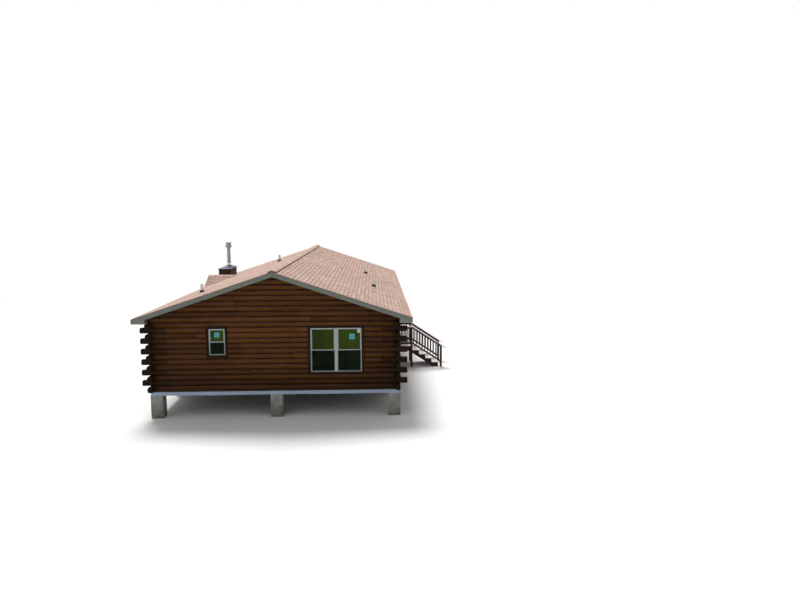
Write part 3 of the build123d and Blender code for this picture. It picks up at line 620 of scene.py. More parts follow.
def logs(side, blocks, thickness=log_thickness):
    """Each block is (from, to, foot, low, high, planed, eased from, eased to, tone, darkening from,
    darkening to, shift), in metres along and up the wall; a tail's darkening at its corner is partly painted
    shade. Its ring has 13 points on the round front, closer together near the grooves, and two at the back.
    It has four
    stations: its ends, shrunk by the ease, and two just inside them."""
    columns = np.array(blocks, float).T
    start, end, foot, low, high, planed, ease_a, ease_b, tone, stain_a, stain_b, shift = columns[..., None]
    from_angle, to_angle = (np.arcsin(np.clip((z - foot) / log_height * 2 - 1, -1, 1)) for z in (low, high))
    step = np.linspace(0, 1, front_points)
    s = np.sin(from_angle * (1 - step) + to_angle * step)
    swell = (1 - np.abs(s) ** 2.4).clip(0) ** 0.8
    bulge = (log_rounding + joint_depth) * swell - joint_depth
    front = thickness - log_rounding + np.where(planed > 0, 0.0, bulge)
    level = np.concatenate([(s + 1) / 2, 0.5 + 0 * foot, 0.5 + 0 * foot], 1)
    up = np.concatenate([foot + (s + 1) / 2 * log_height, high, low], 1)
    depth = np.concatenate([front, 0 * foot, 0 * foot], 1)
    along = np.concatenate([start, start + log_ease, end - log_ease, end], 1)
    eased = np.concatenate([ease_a, 0 * foot, 0 * foot, ease_b], 1)
    shrink = 1 - (eased * 2 * log_ease / log_height)[..., None]
    middle = ((low + high) / 2)[..., None]
    ups = middle + (up[:, None] - middle) * shrink
    depths = thickness / 2 + (depth[:, None] - thickness / 2) * shrink
    rings = on_wall(side, along[..., None], ups, depths - thickness)
    grain = stacked(along[..., None] + shift[..., None], ups - foot[..., None] - log_height / 2, depths)
    dark = np.maximum(np.concatenate([stain_a, stain_a, stain_b, stain_b], 1), eased)[..., None] + 0 * ups
    points, groups, values = skin(rings, grain, tone[:, 0], dark)
    values["level"] = np.broadcast_to(level[:, None], ups.shape).ravel()
    return points, groups, values


def log_piece(name, shapes, stands_for):
    """A piece of logs. Its boards, which are no logs, carry a level of one half."""
    for points, _, values in shapes:
        values.setdefault("level", np.full(len(points), 0.5))
    piece(name, shapes, log_finish, stands_for, rounded=50)


def cut_round(start, end, low, high, openings):
    """Splits one log, from start to end and low to high, round the openings: yields (from, to, low, high,
    planed)."""
    edges = {start, end}
    for left, right, foot, head in openings:
        if foot - trim_reach < high and head + trim_reach > low:
            edges |= {e for e in (left - trim_reach, left, right, right + trim_reach) if start < e < end}
    edges = sorted(edges)
    for a, b in zip(edges, edges[1:]):
        middle = (a + b) / 2
        bands = [(low, high, 0)]
        for left, right, foot, head in openings:
            if left - trim_reach < middle < right + trim_reach:
                cuts = (foot - trim_reach, foot, head, head + trim_reach)
                levels = sorted({low, high, *[cut for cut in cuts if low < cut < high]})
                in_hole = left < middle < right
                bands = [(c, d, cuts[0] < (c + d) / 2 < cuts[3]) for c, d in zip(levels, levels[1:])
                         if not (in_hole and foot < (c + d) / 2 < head)]
        yield from ((a, b, *band) for band in bands)


def joints_along(start, end):
    """Places of the butt joints in one course: lengths drawn between the shortest and longest log. The
    first and the last log may be shorter."""
    places, at = [], start + chance.uniform(shortest_first, longest_log)
    while at < end - shortest_last:
        places.append(at)
        at += chance.uniform(shortest_log, longest_log)
    return places


print("a whole log has", (front_points + back_points) * log_stations, "points")

# %% [markdown]
# Every second course runs past both corners of its wall as tails, and the one between stops at the
# neighbour's inner side. The tails' end pieces are separate, and darker at the corner, more at a wall's
# left end than its right, and less so towards the joint: partly brushed colour soaked into the end grain,
# partly painted shade. On the side walls lies a plate that carries the roof.

# %% Log walls
corner_length = 0.86
corner_clear = 1.0
# Darkening of the tails at a wall's left and right corner: partly the end grain's darker colour, partly
# painted shade.
corner_stains = (0.97, 0.7275)
corner_fade = (0.05, 0.55)


def openings_of(side):
    """Left, right, foot and head of each window's hole and, on the right wall, of the doorway."""
    holes = [(at - w / 2, at + w / 2, window_head - h, window_head) for at, (w, h) in walls[side][3]]
    if side == "right":
        at, w, h = door_hole
        holes.append((at - w / 2, at + w / 2, -trim_reach, h))
    return holes


def wall_blocks(side, first_tail):
    """All blocks of a wall, whose courses from first_tail on, every second one, run past both corners."""
    blocks, openings = [], openings_of(side)
    for course in range(course_count):
        foot = course * log_height
        tails = course % 2 == first_tail
        reach = walls[side][2] + (tail_length if tails else -log_thickness)
        inner = reach - corner_length
        ends = [-reach, reach, *((-inner, inner) if tails else ())]
        joined_reach = inner - corner_clear if tails else reach
        joints = joints_along(-joined_reach, joined_reach)
        places = sorted(ends + joints)
        for left, right in zip(places, places[1:]):
            tone, shift, fading = chance.random(3)
            at_corner = (left == -reach, right == reach)
            # Tails darken towards their corner ends, partly as painted shade.
            stains = np.multiply(corner_stains, at_corner) * tails
            if any(stains):
                stains = np.maximum(stains, np.interp(fading, (0, 1), corner_fade))
            rest = (tone, *stains, shift * log_span)
            for a, b, *part in cut_round(left, right, foot, foot + log_height, openings):
                blocks.append((a, b, foot, *part, a == left, b == right, *rest))
    return blocks


def plate(side):
    """The board that lies on a side wall, as thick as the logs are in their grooves."""
    foot, head = course_count * log_height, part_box("left_wall")[1].z - floor_z
    deep = log_thickness - log_rounding
    middle = on_wall(side, 0.0, (foot + head) / 2, deep / 2 - log_thickness)
    return boards(middle, (2 * (half_length - log_thickness), head - foot, deep), wall_axes(side))


for side in house_sides:
    lengthwise = side in ("left", "right")
    shapes = [logs(side, wall_blocks(side, 0 if lengthwise else 1))]
    if lengthwise:
        shapes.append(plate(side))
    log_piece(f"{side}_logs", shapes, f"{side}_wall")

# %% [markdown]
# ## Gables
#
# The same siding goes on up under the roof. A course ends where its upper edge meets the framing. Its lower
# half goes on as far as the gable is wide at half the course's height, so that no gap shows under the
# soffit.

# %% Gable siding
roof_pitch = 1 / 3
slope_stretch = np.hypot(1, roof_pitch)
gable_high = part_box("front_gable")[1]
most_courses = 12
narrowest_half = 0.1
shortest_block = 0.01


def gable_blocks():
    """Blocks of courses as wide as the gable is at their heads, and at each end a block half as high, out
    to where the gable is at half the course's height."""
    blocks = []
    wider = log_height / 2 / roof_pitch
    for course in range(course_count, course_count + most_courses):
        foot = course * log_height
        head = foot + log_height
        half = min((gable_high.z - floor_z - head) / roof_pitch, gable_high.x)
        if half < narrowest_half:
            break
        places = [-half, *joints_along(-half, half), half]
        for left, right in zip(places, places[1:]):
            tone, shift = chance.random(2)
            rest = (tone, 0.0, 0.0, shift * log_span)
            blocks.append((left, right, foot, foot, head, 0, left > -half, right < half, *rest))
            below = (foot, foot, foot + log_height / 2, 0, 0, 0, *rest)
            if left == -half:
                blocks.append((max(-half - wider, -gable_high.x), left, *below))
            if right == half:
                blocks.append((right, min(half + wider, gable_high.x), *below))
    return [block for block in blocks if block[1] - block[0] > shortest_block]


for side in ("front", "back"):
    log_piece(f"{side}_gable_logs", [logs(side, gable_blocks())], f"{side}_gable")

# %% [markdown]
# ## The other finishes
#
# Painted and stained boards share one recipe: a wood figure, darker in the lines, with a random tone for
# each board. Paint hides most of the figure and stain hides little. Pieces taken over as they were packed
# carry no values of their own, so their finishes read the place on the object instead.

# %% Wood finishes


def board_finish(name, colour, contrast=0.25, roughness=0.55, relief=0.0008, where=None, shine=0.2):
    """Boards of one colour, times (1 - contrast) to (1 + contrast) along the figure, and times the board's
    tone."""
    finish = Finish(name, Specular_IOR_Level=shine)
    if where:
        figure = finish.noise(finish.place, detail=6.0, roughness=0.62, stretch=where)
    else:
        figure = wood_figure(finish, finish.carried("grain", "Vector"))
    shade = finish.tint(colour, figure, (0.28, 1 - contrast), (0.72, 1 + contrast))
    if not where:
        shade = finish.tint(shade, finish.carried("tone"), (0.0, 0.85), (1.0, 1.15))
    shade = finish.tint(shade, finish.noise(finish.place, 1.7, 4.0), (0.3, 0.9), (0.7, 1.06))
    rough = finish.spread(figure, 0.3, 0.7, roughness - 0.06, roughness + 0.08)
    return finish.set(Base_Color=shade, Roughness=rough, Normal=finish.bump(figure, relief, 0.7))


def stair_worn_and_highlit():
    """Stained boards whose upper faces are pale grey, partly wear and partly a painted highlight: the colour
    changes with the upward part of the face's direction. The handrails are pale on their edges too, as their
    stain value says."""
    finish = Finish("stair_boards", Specular_IOR_Level=0.1)
    grain = finish.carried("grain", "Vector")
    figure = wood_figure(finish, grain)
    stained = finish.ramp(figure, (0.3, (0.026, 0.014, 0.010)), (0.7, (0.060, 0.032, 0.022)))
    # Partly wear, partly a painted highlight: the pale grey of upward faces and handrails.
    worn_and_highlit = finish.ramp(figure, (0.25, (0.62, 0.55, 0.57)), (0.75, (0.92, 0.85, 0.87)))
    worn_and_highlit_faces = finish.most(finish.spread(finish.upward(), 0.6, 0.9), finish.carried("stain"))
    patches = finish.noise(finish.place, 7.0, 4.0)
    share = finish.times(worn_and_highlit_faces, finish.spread(patches, 0.25, 0.5, 0.8, 1.0))
    colour = finish.mix(share, stained, worn_and_highlit)
    colour = finish.tint(colour, finish.carried("tone"), (0.0, 0.82), (1.0, 1.16))
    colour = finish.mix(finish.times(drying_checks(finish, grain), 0.6), colour, (0.02, 0.013, 0.01))
    rough = finish.spread(share, 0.0, 1.0, 0.55, 0.8)
    return finish.set(Base_Color=colour, Roughness=rough, Normal=finish.bump(figure, 0.0012, 0.8))


green_boards = board_finish("trim_green_paint", (0.162, 0.180, 0.152), 0.10)
green_panels = board_finish("soffit_panels", (0.155, 0.172, 0.145), 0.07)
brown_boards = board_finish("trim_brown_stain", (0.019, 0.009, 0.004), 0.35, shine=0.06)
# The rim sheet's blue is partly its own colour and partly painted sky light.
rim_paint_sky_tinted = board_finish("rim_paint_and_sky_tint", (0.30, 0.38, 0.49), 0.10, 0.6)
# Painted shadow: the rim is near-black, as the shade in the gap between the sheet and the lowest logs.
rim_painted_shadow = board_finish("rim_in_shadow", (0.045, 0.034, 0.027), 0.20, where=(1.5, 1.5, 8.0), shine=0.05)
raw_boards = board_finish("raw_softwood", (0.66, 0.50, 0.30), 0.16, 0.7, where=(6.0, 6.0, 6.0))
stair_boards = stair_worn_and_highlit()
door_skin = board_finish("door_paint", (0.70, 0.69, 0.65), 0.03, 0.4, relief=0.0002, where=(3.0, 3.0, 3.0))
print("paints and stains so far:", len(bpy.data.materials))

# %% [markdown]
# Roof shingles are coated with crushed stone of several shades. A very fine noise gives the stones, a
# coarser one the blends of the factory, and every tab has its own tone. Rain runs down the slope, so its
# streaks are long that way.

# %% Shingle finish


def shingles():
    """A colour by tone and blend, times the stones and the streaks, and towards dark brown as the
    stain value rises to 1: painted shade on the sheet in the slots, and dirt and painted
    shade under each row's edge."""
    finish = Finish("mineral_shingles", Roughness=0.92, Specular_IOR_Level=0.2)
    place = finish.place
    stones = finish.noise(place, 420.0, 2.0, 0.7)
    blend = finish.noise(place, 5.5, 4.0)
    colour = finish.ramp(
        finish.plus(finish.times(finish.carried("tone"), 0.62), finish.times(blend, 0.38)),
        (0.12, (0.405, 0.272, 0.225)),
        (0.50, (0.505, 0.354, 0.298)),
        (0.88, (0.600, 0.438, 0.376)),
    )
    speckle = ((0.30, (0.50, 0.47, 0.46)), (0.46, 0.94), (0.66, (1.34, 1.33, 1.31)))
    colour = finish.tint(colour, stones, *speckle)
    streaks = finish.noise(place, detail=4.0, stretch=(0.35, 3.0, 0.35))
    colour = finish.tint(colour, streaks, (0.3, (0.88, 0.87, 0.87)), (0.7, 1.05))
    colour = finish.mix(finish.carried("stain"), colour, (0.060, 0.042, 0.034))
    return finish.set(Base_Color=colour, Normal=finish.bump(stones, 0.0012, 0.7))


shingle_finish = shingles()
print("shingle finish:", len(shingle_finish.node_tree.nodes), "nodes")

# %% [markdown]
# Zinc freezes on sheet steel as large flat crystals, each with its own tilt. A cell pattern gives them, and
# each cell has its own shade. Weather leaves a dull bloom in patches. Paint, plastic and rubber are
# simpler: two close shades in patches and runs. Glass is dark and a little uneven, so that what it mirrors
# wavers, and its broad patches of two shades are a painted reflection of trees and grass.

# %% Metal, plastic, glass and masonry
thread_pitch = 0.0016


def zinc(name, light, dark, metallic, roughness, cell=38.0, upright=1.0):
    """Galvanised sheet. Its upright faces are painted darker by the factor upright, as painted shade."""
    finish = Finish(name, Metallic=metallic, Specular_IOR_Level=0.5)
    crystals = finish.axes(finish.cells(finish.place, cell, "Color"))[0]
    bloom = finish.noise(finish.place, 6.0, 5.0)
    runs = finish.noise(finish.place, stretch=(9.0, 9.0, 0.9))
    share = finish.plus(finish.times(crystals, 0.4), finish.times(bloom, 0.6))
    colour = finish.ramp(share, (0.25, dark), (0.75, light))
    colour = finish.tint(colour, runs, (0.35, (0.86, 0.85, 0.83)), (0.6, 1.0))
    colour = finish.tint(colour, finish.spread(finish.upward(), 0.2, 0.7), (0.0, upright), (1.0, 1.0))
    rough = finish.spread(share, 0.2, 0.8, *roughness)
    return finish.set(Base_Color=colour, Roughness=rough, Normal=finish.bump(bloom, 0.001, 0.3))


def plain_coat(name, light, dark, roughness, relief=0.0004, shine=0.3):
    """Paint, plastic or rubber: two close shades in soft patches, and a fine unevenness."""
    finish = Finish(name, Specular_IOR_Level=shine)
    patches = finish.noise(finish.place, 4.0, 5.0)
    runs = finish.noise(finish.place, stretch=(6.0, 6.0, 0.8))
    share = finish.plus(finish.times(patches, 0.5), finish.times(runs, 0.5))
    return finish.set(
        Base_Color=finish.ramp(share, (0.33, dark), (0.62, light)),
        Roughness=finish.spread(patches, 0.3, 0.7, roughness - 0.05, roughness + 0.08),
        Normal=finish.bump(finish.noise(finish.place, 60.0), relief, 0.5),
    )


def glass_with_painted_reflection(name, high, low):
    """Smooth dark glass with broad patches of two shades, a painted reflection of trees and grass, and slow
    waves in its surface.
    """
    finish = Finish(name, Roughness=0.04, IOR=1.45, Specular_IOR_Level=0.03, Transmission_Weight=0.1)
    patches = finish.noise(finish.place, detail=5.0, roughness=0.6, stretch=(1.6, 1.6, 1.0))
    waves = finish.bump(finish.noise(finish.place, 1.1, 1.0), 0.01, 0.25)
    return finish.set(Base_Color=finish.ramp(patches, (0.34, low), (0.66, high)), Normal=waves)


def insect_mesh():
    """Woven threads, with the spaces cut out by the shader's alpha."""
    finish = Finish("insect_mesh", Roughness=0.7, Specular_IOR_Level=0.03)
    dust = finish.noise(finish.place, 3.0, 4.0)
    counted = [finish.times(axis, 1 / thread_pitch) for axis in finish.axes(finish.place)]
    x, y, z = (finish.math("GREATER_THAN", finish.math("FRACT", count), 0.72) for count in counted)
    return finish.set(
        Base_Color=finish.ramp(dust, (0.3, (0.004, 0.008, 0.005)), (0.7, (0.010, 0.018, 0.010))),
        Alpha=finish.most(finish.most(x, y), z),
    )


def concrete():
    """Grey blocks with sand, pores and a tone of their own, and brown splashes near their foot."""
    finish = Finish("concrete_block", Roughness=0.9, Specular_IOR_Level=0.25)
    sand = finish.noise(finish.place, 160.0, roughness=0.7)
    patches = finish.noise(finish.place, 5.0, 5.0)
    pores = finish.spread(finish.cells(finish.place, 95.0), 0.10, 0.24)
    height = finish.plus(finish.axes(finish.place)[2], finish.spread(patches, 0.3, 0.7, -0.10, 0.10))
    colour = finish.ramp(patches, (0.3, (0.20, 0.20, 0.19)), (0.7, (0.33, 0.33, 0.31)))
    colour = finish.tint(colour, sand, (0.3, 0.74), (0.7, 1.14))
    colour = finish.tint(colour, pores, (0.0, 0.45), (1.0, 1.0))
    colour = finish.tint(colour, finish.carried("tone"), (0.0, 0.88), (1.0, 1.08))
    colour = finish.tint(colour, finish.spread(height, 0.0, 0.45), (0.0, (0.58, 0.52, 0.44)), (1.0, 1.0))
    return finish.set(Base_Color=colour, Normal=finish.bump(finish.plus(sand, pores), 0.0022, 0.8))


def woven_sheet():
    """A sheet of woven plastic tape under the floor: two sets of ribs, one over the other."""
    finish = Finish("belly_sheet", Roughness=0.6, Specular_IOR_Level=0.3)
    tape = finish.node("TexChecker", "Fac", Vector=finish.place, Scale=260.0)
    dust = finish.noise(finish.place, 2.0, 5.0)
    colour = finish.ramp(dust, (0.3, (0.010, 0.010, 0.011)), (0.7, (0.026, 0.025, 0.024)))
    return finish.set(Base_Color=colour, Normal=finish.bump(tape, 0.0006, 0.5))


# The cover's upright faces are painted dark by upright=0.12, as painted shade.
cover_zinc = zinc("cover_zinc", (0.15, 0.13, 0.18), (0.08, 0.07, 0.10), 0.5, (0.42, 0.62), upright=0.12)
flue_steel = zinc("flue_steel", (0.40, 0.44, 0.42), (0.34, 0.37, 0.36), 0.35, (0.42, 0.54))
bright_steel = zinc("bright_steel", (0.86, 0.85, 0.82), (0.74, 0.73, 0.70), 0.85, (0.22, 0.34), cell=22.0)
edge_metal = plain_coat("edge_metal", (0.165, 0.185, 0.158), (0.148, 0.166, 0.142), 0.5)
pipe_plastic = plain_coat("vent_plastic", (0.88, 0.88, 0.86), (0.80, 0.79, 0.76), 0.45)
black_rubber = plain_coat("black_flashing", (0.022, 0.018, 0.022), (0.010, 0.008, 0.010), 0.55, shine=0.1)
vinyl = plain_coat("frame_vinyl", (0.38, 0.43, 0.43), (0.33, 0.38, 0.38), 0.38, relief=0.0001)
ceiling_paint = plain_coat("ceiling_paint", (0.80, 0.79, 0.75), (0.74, 0.73, 0.69), 0.85)
# Painted reflection: the front's upper panes are olive green for the grass they mirror; the side and lower
# panes are darker tints of it.
upper_glass_painted_reflection = glass_with_painted_reflection("upper_glass_painted_reflection", (0.042, 0.072, 0.004), (0.020, 0.036, 0.002))
side_glass = glass_with_painted_reflection("side_glass", (0.026, 0.040, 0.028), (0.012, 0.020, 0.014))
lower_glass = glass_with_painted_reflection("lower_glass", (0.024, 0.050, 0.020), (0.008, 0.018, 0.010))
screen_mesh = insect_mesh()
block_masonry = concrete()
belly_sheet = woven_sheet()
print("finishes in all:", len(bpy.data.materials))

# %% [markdown]
# ## Packed pieces that keep their shape
#
# Framing, the ceiling and the sheet under the floor are right as they are. They only get a finish, through
# their material slots.

# %% Finishes for packed pieces


def dress(material, *nodes):
    """Gives packed pieces a finish through their slots and leaves their meshes as they are."""
    for name in nodes:
        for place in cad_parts[name].material_slots:
            place.link = "OBJECT"
            place.material = material
    print(material.name, "on", ", ".join(nodes))


dress(raw_boards, "floor_joists", "floor_deck", "roof_rafters")
dress(belly_sheet, "belly_wrap")
dress(ceiling_paint, "ceiling")

# %% [markdown]
# ## Shingles
#
# Each strip of asphalt shingle shows three tabs with a narrow slot between them, and each row is shifted by
# half a tab, so that no slot lies over another. A tab's lower edge lies one thickness above the row below.
# In the slope's own axes, y along the ridge, d up from the eave and h out from the surface, a tab is a thin
# box whose top falls back by its own thickness over the 143 mm that show, darker towards its head, partly
# dirt and partly painted shade under the next row. Under the tabs lies a sheet painted dark as the shade
# that shows in the slots.

# %% Main roof slopes
roof_low, roof_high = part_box("roof_left")
chase_low, chase_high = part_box("chimney_chase")
cross_low, cross_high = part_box("cross_gable_roof")
eave_x, rake_y, roof_apex = -roof_low.x, -roof_low.y, roof_high.z
frame_apex = gable_high.z
exposure = 0.143
tab_width = 0.305
tab_slot = 0.014
tab_thickness = 0.009
tab_lap = 0.012
first_shift = 0.07
smallest_tab = 0.012
tab_rings = np.array([0.0, 0.5, 1.0])
# Darkening of a tab at its three rings: partly dirt, partly painted shade under the next row.
tab_dirt_and_shade = np.array([0.0, 0.04, 0.52])
sheet_heights = np.repeat((-2 * tab_thickness, (frame_apex - roof_apex) / slope_stretch), 2)
chase_y = (chase_low.y - 0.003, chase_high.y + 0.003)
cross_y = 1.41
cross_pitch = 0.5
cross_stretch = np.hypot(1, cross_pitch)
cross_apex = cross_high.z
cross_reach = (cross_high.y - cross_low.y) / 2
cross_back = (roof_apex - cross_apex) / roof_pitch


def off_ridge(reach, apex, pitch, d, h):
    """Distance from the ridge and height of points d up from the eave and h out from a slope. On the slope
    the distance is the reach less d / stretch and the height falls with it by the pitch; h adds h pitch /
    stretch and h / stretch."""
    stretch = np.hypot(1, pitch)
    run = reach - d / stretch
    return run + h * pitch / stretch, apex - run * pitch + h / stretch


def on_slope(side, y, d, h):
    """Points of the main slope that faces -X (side -1) or +X (side 1)."""
    away, z = off_ridge(eave_x, roof_apex, roof_pitch, d, h)
    return stacked(side * away, y, z)


def on_cross(side, x, d, h):
    """The same for the small gable, whose slopes face -Y and +Y and whose rows run along X."""
    away, z = off_ridge(cross_reach, cross_apex, cross_pitch, d, h)
    return stacked(x, cross_y + side * away, z)


def tab_rows(length, start, end, covered=lambda low, high: ()):
    """Rows of tabs up a slope of this length, as (from, to, lower edge, upper edge, tone). Covered gives
    the parts of a row, as (from, to), that something else covers."""
    rows = []
    for row in range(int(np.ceil(length / exposure))):
        low = row * exposure
        high = min(low + exposure + tab_lap, length)
        lefts = np.arange(start - tab_width * (0.5 + 0.5 * (row % 2)) - first_shift, end, tab_width)
        strip = np.repeat(chance.random(len(lefts) // 3 + 1), 3)[:len(lefts)]
        tones = 0.45 * strip + 0.55 * chance.random(len(lefts))
        for left, tone in zip(lefts, tones):
            parts = [(max(left, start), min(left + tab_width - tab_slot, end))]
            for a, b in covered(low, high):
                parts = [part for q, r in parts for part in ((q, min(r, a)), (max(q, b), r))]
            rows += [(q, r, low, high, tone) for q, r in parts if r - q > smallest_tab]
    return np.array(rows)


def tabs(rows, where):
    """Each tab is a box with one more ring at its middle. H is 0 at the lower edge of its top, falls evenly
    up the slope, and is one thickness less below. The upper half is darkened under the next row's edge,
    partly dirt and partly painted shade."""
    start, end, low, high, tone = rows.T[..., None, None]
    up = low + (high - low) * tab_rings[:, None]
    along = np.concatenate([start, end, end, start], -1) + 0 * up
    h = -tab_thickness * (up - low) / exposure - tab_thickness * np.array([0, 0, 1, 1])
    return skin(where(along, up, h), tone=tone.ravel(), stain=tab_dirt_and_shade[:, None] + 0 * along)


def sheet_under(where, parts):
    """The sheet below the tabs, painted dark as the shade in the slots, as boxes (from, to, lower, upper).
    """
    start, end, low, high = np.array(parts).T[..., None, None]
    along = np.concatenate([start, end, end, start], -1)
    return skin(where(along, np.concatenate([low, high], 1), sheet_heights), stain=1.0)


under_caps = 0.05
over_metal = 0.0028
valley_clear = 0.08
notch_lap = 0.02
smallest_half = 0.02
slope_top = eave_x * slope_stretch - under_caps
notch_length = (eave_x - half_width) * slope_stretch
shingle_end = rake_y + over_metal


def covered_left(low, high):
    """What the chase and the small gable cover of a row on the left slope. Near the valley a row goes on
    under the small gable a little, so that no gap shows."""
    if low < notch_length - notch_lap:
        yield chase_y
    half = (eave_x - high / slope_stretch - cross_back) * roof_pitch / cross_pitch - valley_clear
    if half > smallest_half:
        yield cross_y - half, cross_y + half


left_parts = [(-shingle_end, chase_y[0], 0.0, slope_top), (chase_y[1], shingle_end, 0.0, slope_top),
              (*chase_y, notch_length, slope_top)]
left_rows = tab_rows(slope_top, -shingle_end, shingle_end, covered_left)
on_left, on_right = partial(on_slope, -1), partial(on_slope, 1)
left_shapes = [tabs(left_rows, on_left), sheet_under(on_left, left_parts)]
piece("roof_left_shingles", left_shapes, shingle_finish, "roof_left")
right_rows = tab_rows(slope_top, -shingle_end, shingle_end)
right_parts = [(-shingle_end, shingle_end, 0.0, slope_top)]
right_shapes = [tabs(right_rows, on_right), sheet_under(on_right, right_parts)]
piece("roof_right_shingles", right_shapes, shingle_finish, "roof_right")

# %% [markdown]
# ## The small gable's slopes
#
# The same tabs cover the small gable. Its rows run on past the valley and end under the main slope, where
# nobody sees them, so that the valley itself comes out exactly where the two surfaces meet.

# %% Small gable slopes
cross_length = cross_reach * cross_stretch
under_cross_caps = 0.03
longest_row = 0.1 - cross_back
past_valley, sheet_past_valley = 0.06, 0.03
shortest_cross_tab = 0.02


def cross_rows():
    """Rows from the rake at the eave line back to a little beyond the valley at each row's upper edge."""
    rows = tab_rows(cross_length - under_cross_caps, -eave_x, longest_row)
    run = cross_reach - rows[:, 3] / cross_stretch
    valley = -cross_back - run * cross_pitch / roof_pitch
    rows[:, 1] = np.minimum(rows[:, 1], valley + past_valley)
    return rows[rows[:, 1] - rows[:, 0] > shortest_cross_tab]


def cross_sheet(where):
    """One slab under the tabs: its back edge follows the valley, so its outline has four corners in plan."""
    back = sheet_past_valley - cross_back
    x = np.array((-eave_x, back - cross_reach * cross_pitch / roof_pitch, back, -eave_x))
    d = np.array((0, 0, cross_length, cross_length))
    # The slab is painted dark, as the shade in the slots.
    return skin(where(x, d, sheet_heights[[0, 2], None])[None], stain=1.0)


cross_shapes = []
for side in (-1, 1):
    where = partial(on_cross, side)
    cross_shapes += [tabs(cross_rows(), where), cross_sheet(where)]
print("small gable:", sum(len(points) for points, _, _ in cross_shapes), "points")

# %% [markdown]
# Over a ridge go single tabs bent across it, each lapping the one before. Along the main ridge they lie on a
# slotted vent: between the vent's top and the roof stays a dark gap, which is where the air comes out.

# %% Ridge caps
vent_low, vent_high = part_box("ridge_vent")
cap_points = 9
core_inset, core_end_inset, core_gap = 0.012, 0.006, 0.003
main_rounding, cross_rounding = 0.02, 0.012
cross_cap_half = 0.14
cross_caps_end = 0.25 - cross_back


def ridge_caps(where, start, end, half, pitch, rounding):
    """Bent tabs along a ridge. Across the ridge their top falls as pitch times sqrt(x^2 + rounding^2),
    which is a straight slope with a rounded middle; along it each falls back by its own thickness."""
    lower = start + np.arange(int(np.ceil((end - start) / exposure)))[:, None] * exposure
    upper = np.minimum(lower + exposure + tab_lap, end)
    across = np.linspace(-half, half, cap_points)
    top = -pitch * (np.sqrt(across ** 2 + rounding ** 2) - rounding)
    outline = np.concatenate([across, across[::-1]]), np.concatenate([top, top[::-1] - tab_thickness])
    drop = np.concatenate([0 * lower, -tab_thickness * (upper - lower) / exposure], 1)[..., None]
    along = np.concatenate([lower, upper], 1)[..., None]
    return skin(where(along, outline[0], outline[1] + drop))


def along_main(along, across, up):
    """The caps of the main ridge lap towards the front, so that their thick edges face the back."""
    return stacked(across, -along, vent_high.z + up)


def along_cross(along, across, up):
    """The small ridge runs along X, and its caps lap from the rake towards the main roof."""
    return stacked(along, cross_y + across, cross_apex + up)


def vent_core():
    """The slotted strip under the caps: a shallow prism whose top follows the ridge."""
    half = vent_high.x - core_inset
    x = np.array([-half, 0, half, half, 0, -half])
    above = np.repeat((-tab_thickness - core_gap, roof_apex - vent_high.z - core_inset), 3)
    ends = np.array([[vent_low.y + core_end_inset], [vent_high.y - core_end_inset]])
    return skin(along_main(ends, x, above - np.abs(x) * roof_pitch)[None], stain=0.75)


caps = ridge_caps(along_main, vent_low.y, vent_high.y, vent_high.x, roof_pitch, main_rounding)
piece("ridge_vent_caps", [caps, vent_core()], shingle_finish, "ridge_vent", rounded=40)
cross_caps = (-eave_x, cross_caps_end, cross_cap_half, cross_pitch, cross_rounding)
cross_shapes.append(ridge_caps(along_cross, *cross_caps))
piece("cross_gable_shingles", cross_shapes, shingle_finish, "cross_gable_roof", rounded=40)

# %% [markdown]
# ## Painted boards at the edge of the roof
#
# Fascias and the small gable's rake boards are sawn boards. Their packed shapes have the right cuts at the
# ridge and the corners, so copies of them are used: points that lie together are joined, flat neighbours
# become one face, and every edge is eased by 3 mm as a painter would want it.

# %% Eased copies
board_ease = 0.003
flat_angle, sharp_angle = np.radians((1.0, 25.0))


def eased_piece(name, mesh, stands_for, join=0.0):
    """Joins points nearer than join, makes flat neighbours one face and eases the sharp edges. The grain is
    the place itself, turned so that the longest way of the piece comes first."""
    shape = bmesh.new()
    shape.from_mesh(mesh)
    if join:
        bmesh.ops.remove_doubles(shape, verts=shape.verts, dist=join)
    bmesh.ops.dissolve_limit(shape, angle_limit=flat_angle, verts=shape.verts, edges=shape.edges)
    sharp = [edge for edge in shape.edges if edge.calc_face_angle(0.0) > sharp_angle]
    bmesh.ops.bevel(shape, geom=sharp, offset=board_ease, segments=1, affect="EDGES", clamp_overlap=True)
    bmesh.ops.recalc_face_normals(shape, faces=shape.faces)
    shape.to_mesh(mesh)
    shape.free()
    mesh.shade_flat()
    places = np.empty(len(mesh.vertices) * 3, np.float32)
    mesh.vertices.foreach_get("co", places)
    places = places.reshape(-1, 3)
    longest_first = np.argsort(-np.ptp(places, axis=0))
    write_values(mesh, carried_values(places, places[:, longest_first], len(places), tone=0.5))
    put_in(name, mesh, green_boards, stands_for)


for node in ("fascias", "cross_gable_rake_boards"):
    eased_piece(f"{node}_eased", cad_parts[node].data.copy(), node, join=1e-5)

# %% [markdown]
# The rake boards of the main gables are 38 mm thick and 140 mm deep: in the photograph they are a quarter
# less deep than the packed ones, so they are made anew. Each is an upright outline, cut plumb at the ridge
# and level at its foot, carried through the board's thickness. Behind it runs a thin soffit panel 10 mm
# above the board's lower edge, and a three-cornered board and a cheek close the end of the eave.

# %% Rake boards and soffits
rake_depth = 0.140
board_thickness = 0.038
rake_gap = 0.001
panel_thickness = 0.010
panel_rise = 0.010
cheek_thickness = 0.019
logs_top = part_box("fascias")[0].z
rake_foot = frame_apex - rake_depth * slope_stretch
panel_foot = rake_foot + panel_rise
foot_x = (rake_foot - logs_top) / roof_pitch
rake_inner, eave_inner = rake_y - board_thickness, eave_x - board_thickness
groove_x, groove_y = half_width - log_rounding, half_length - log_rounding


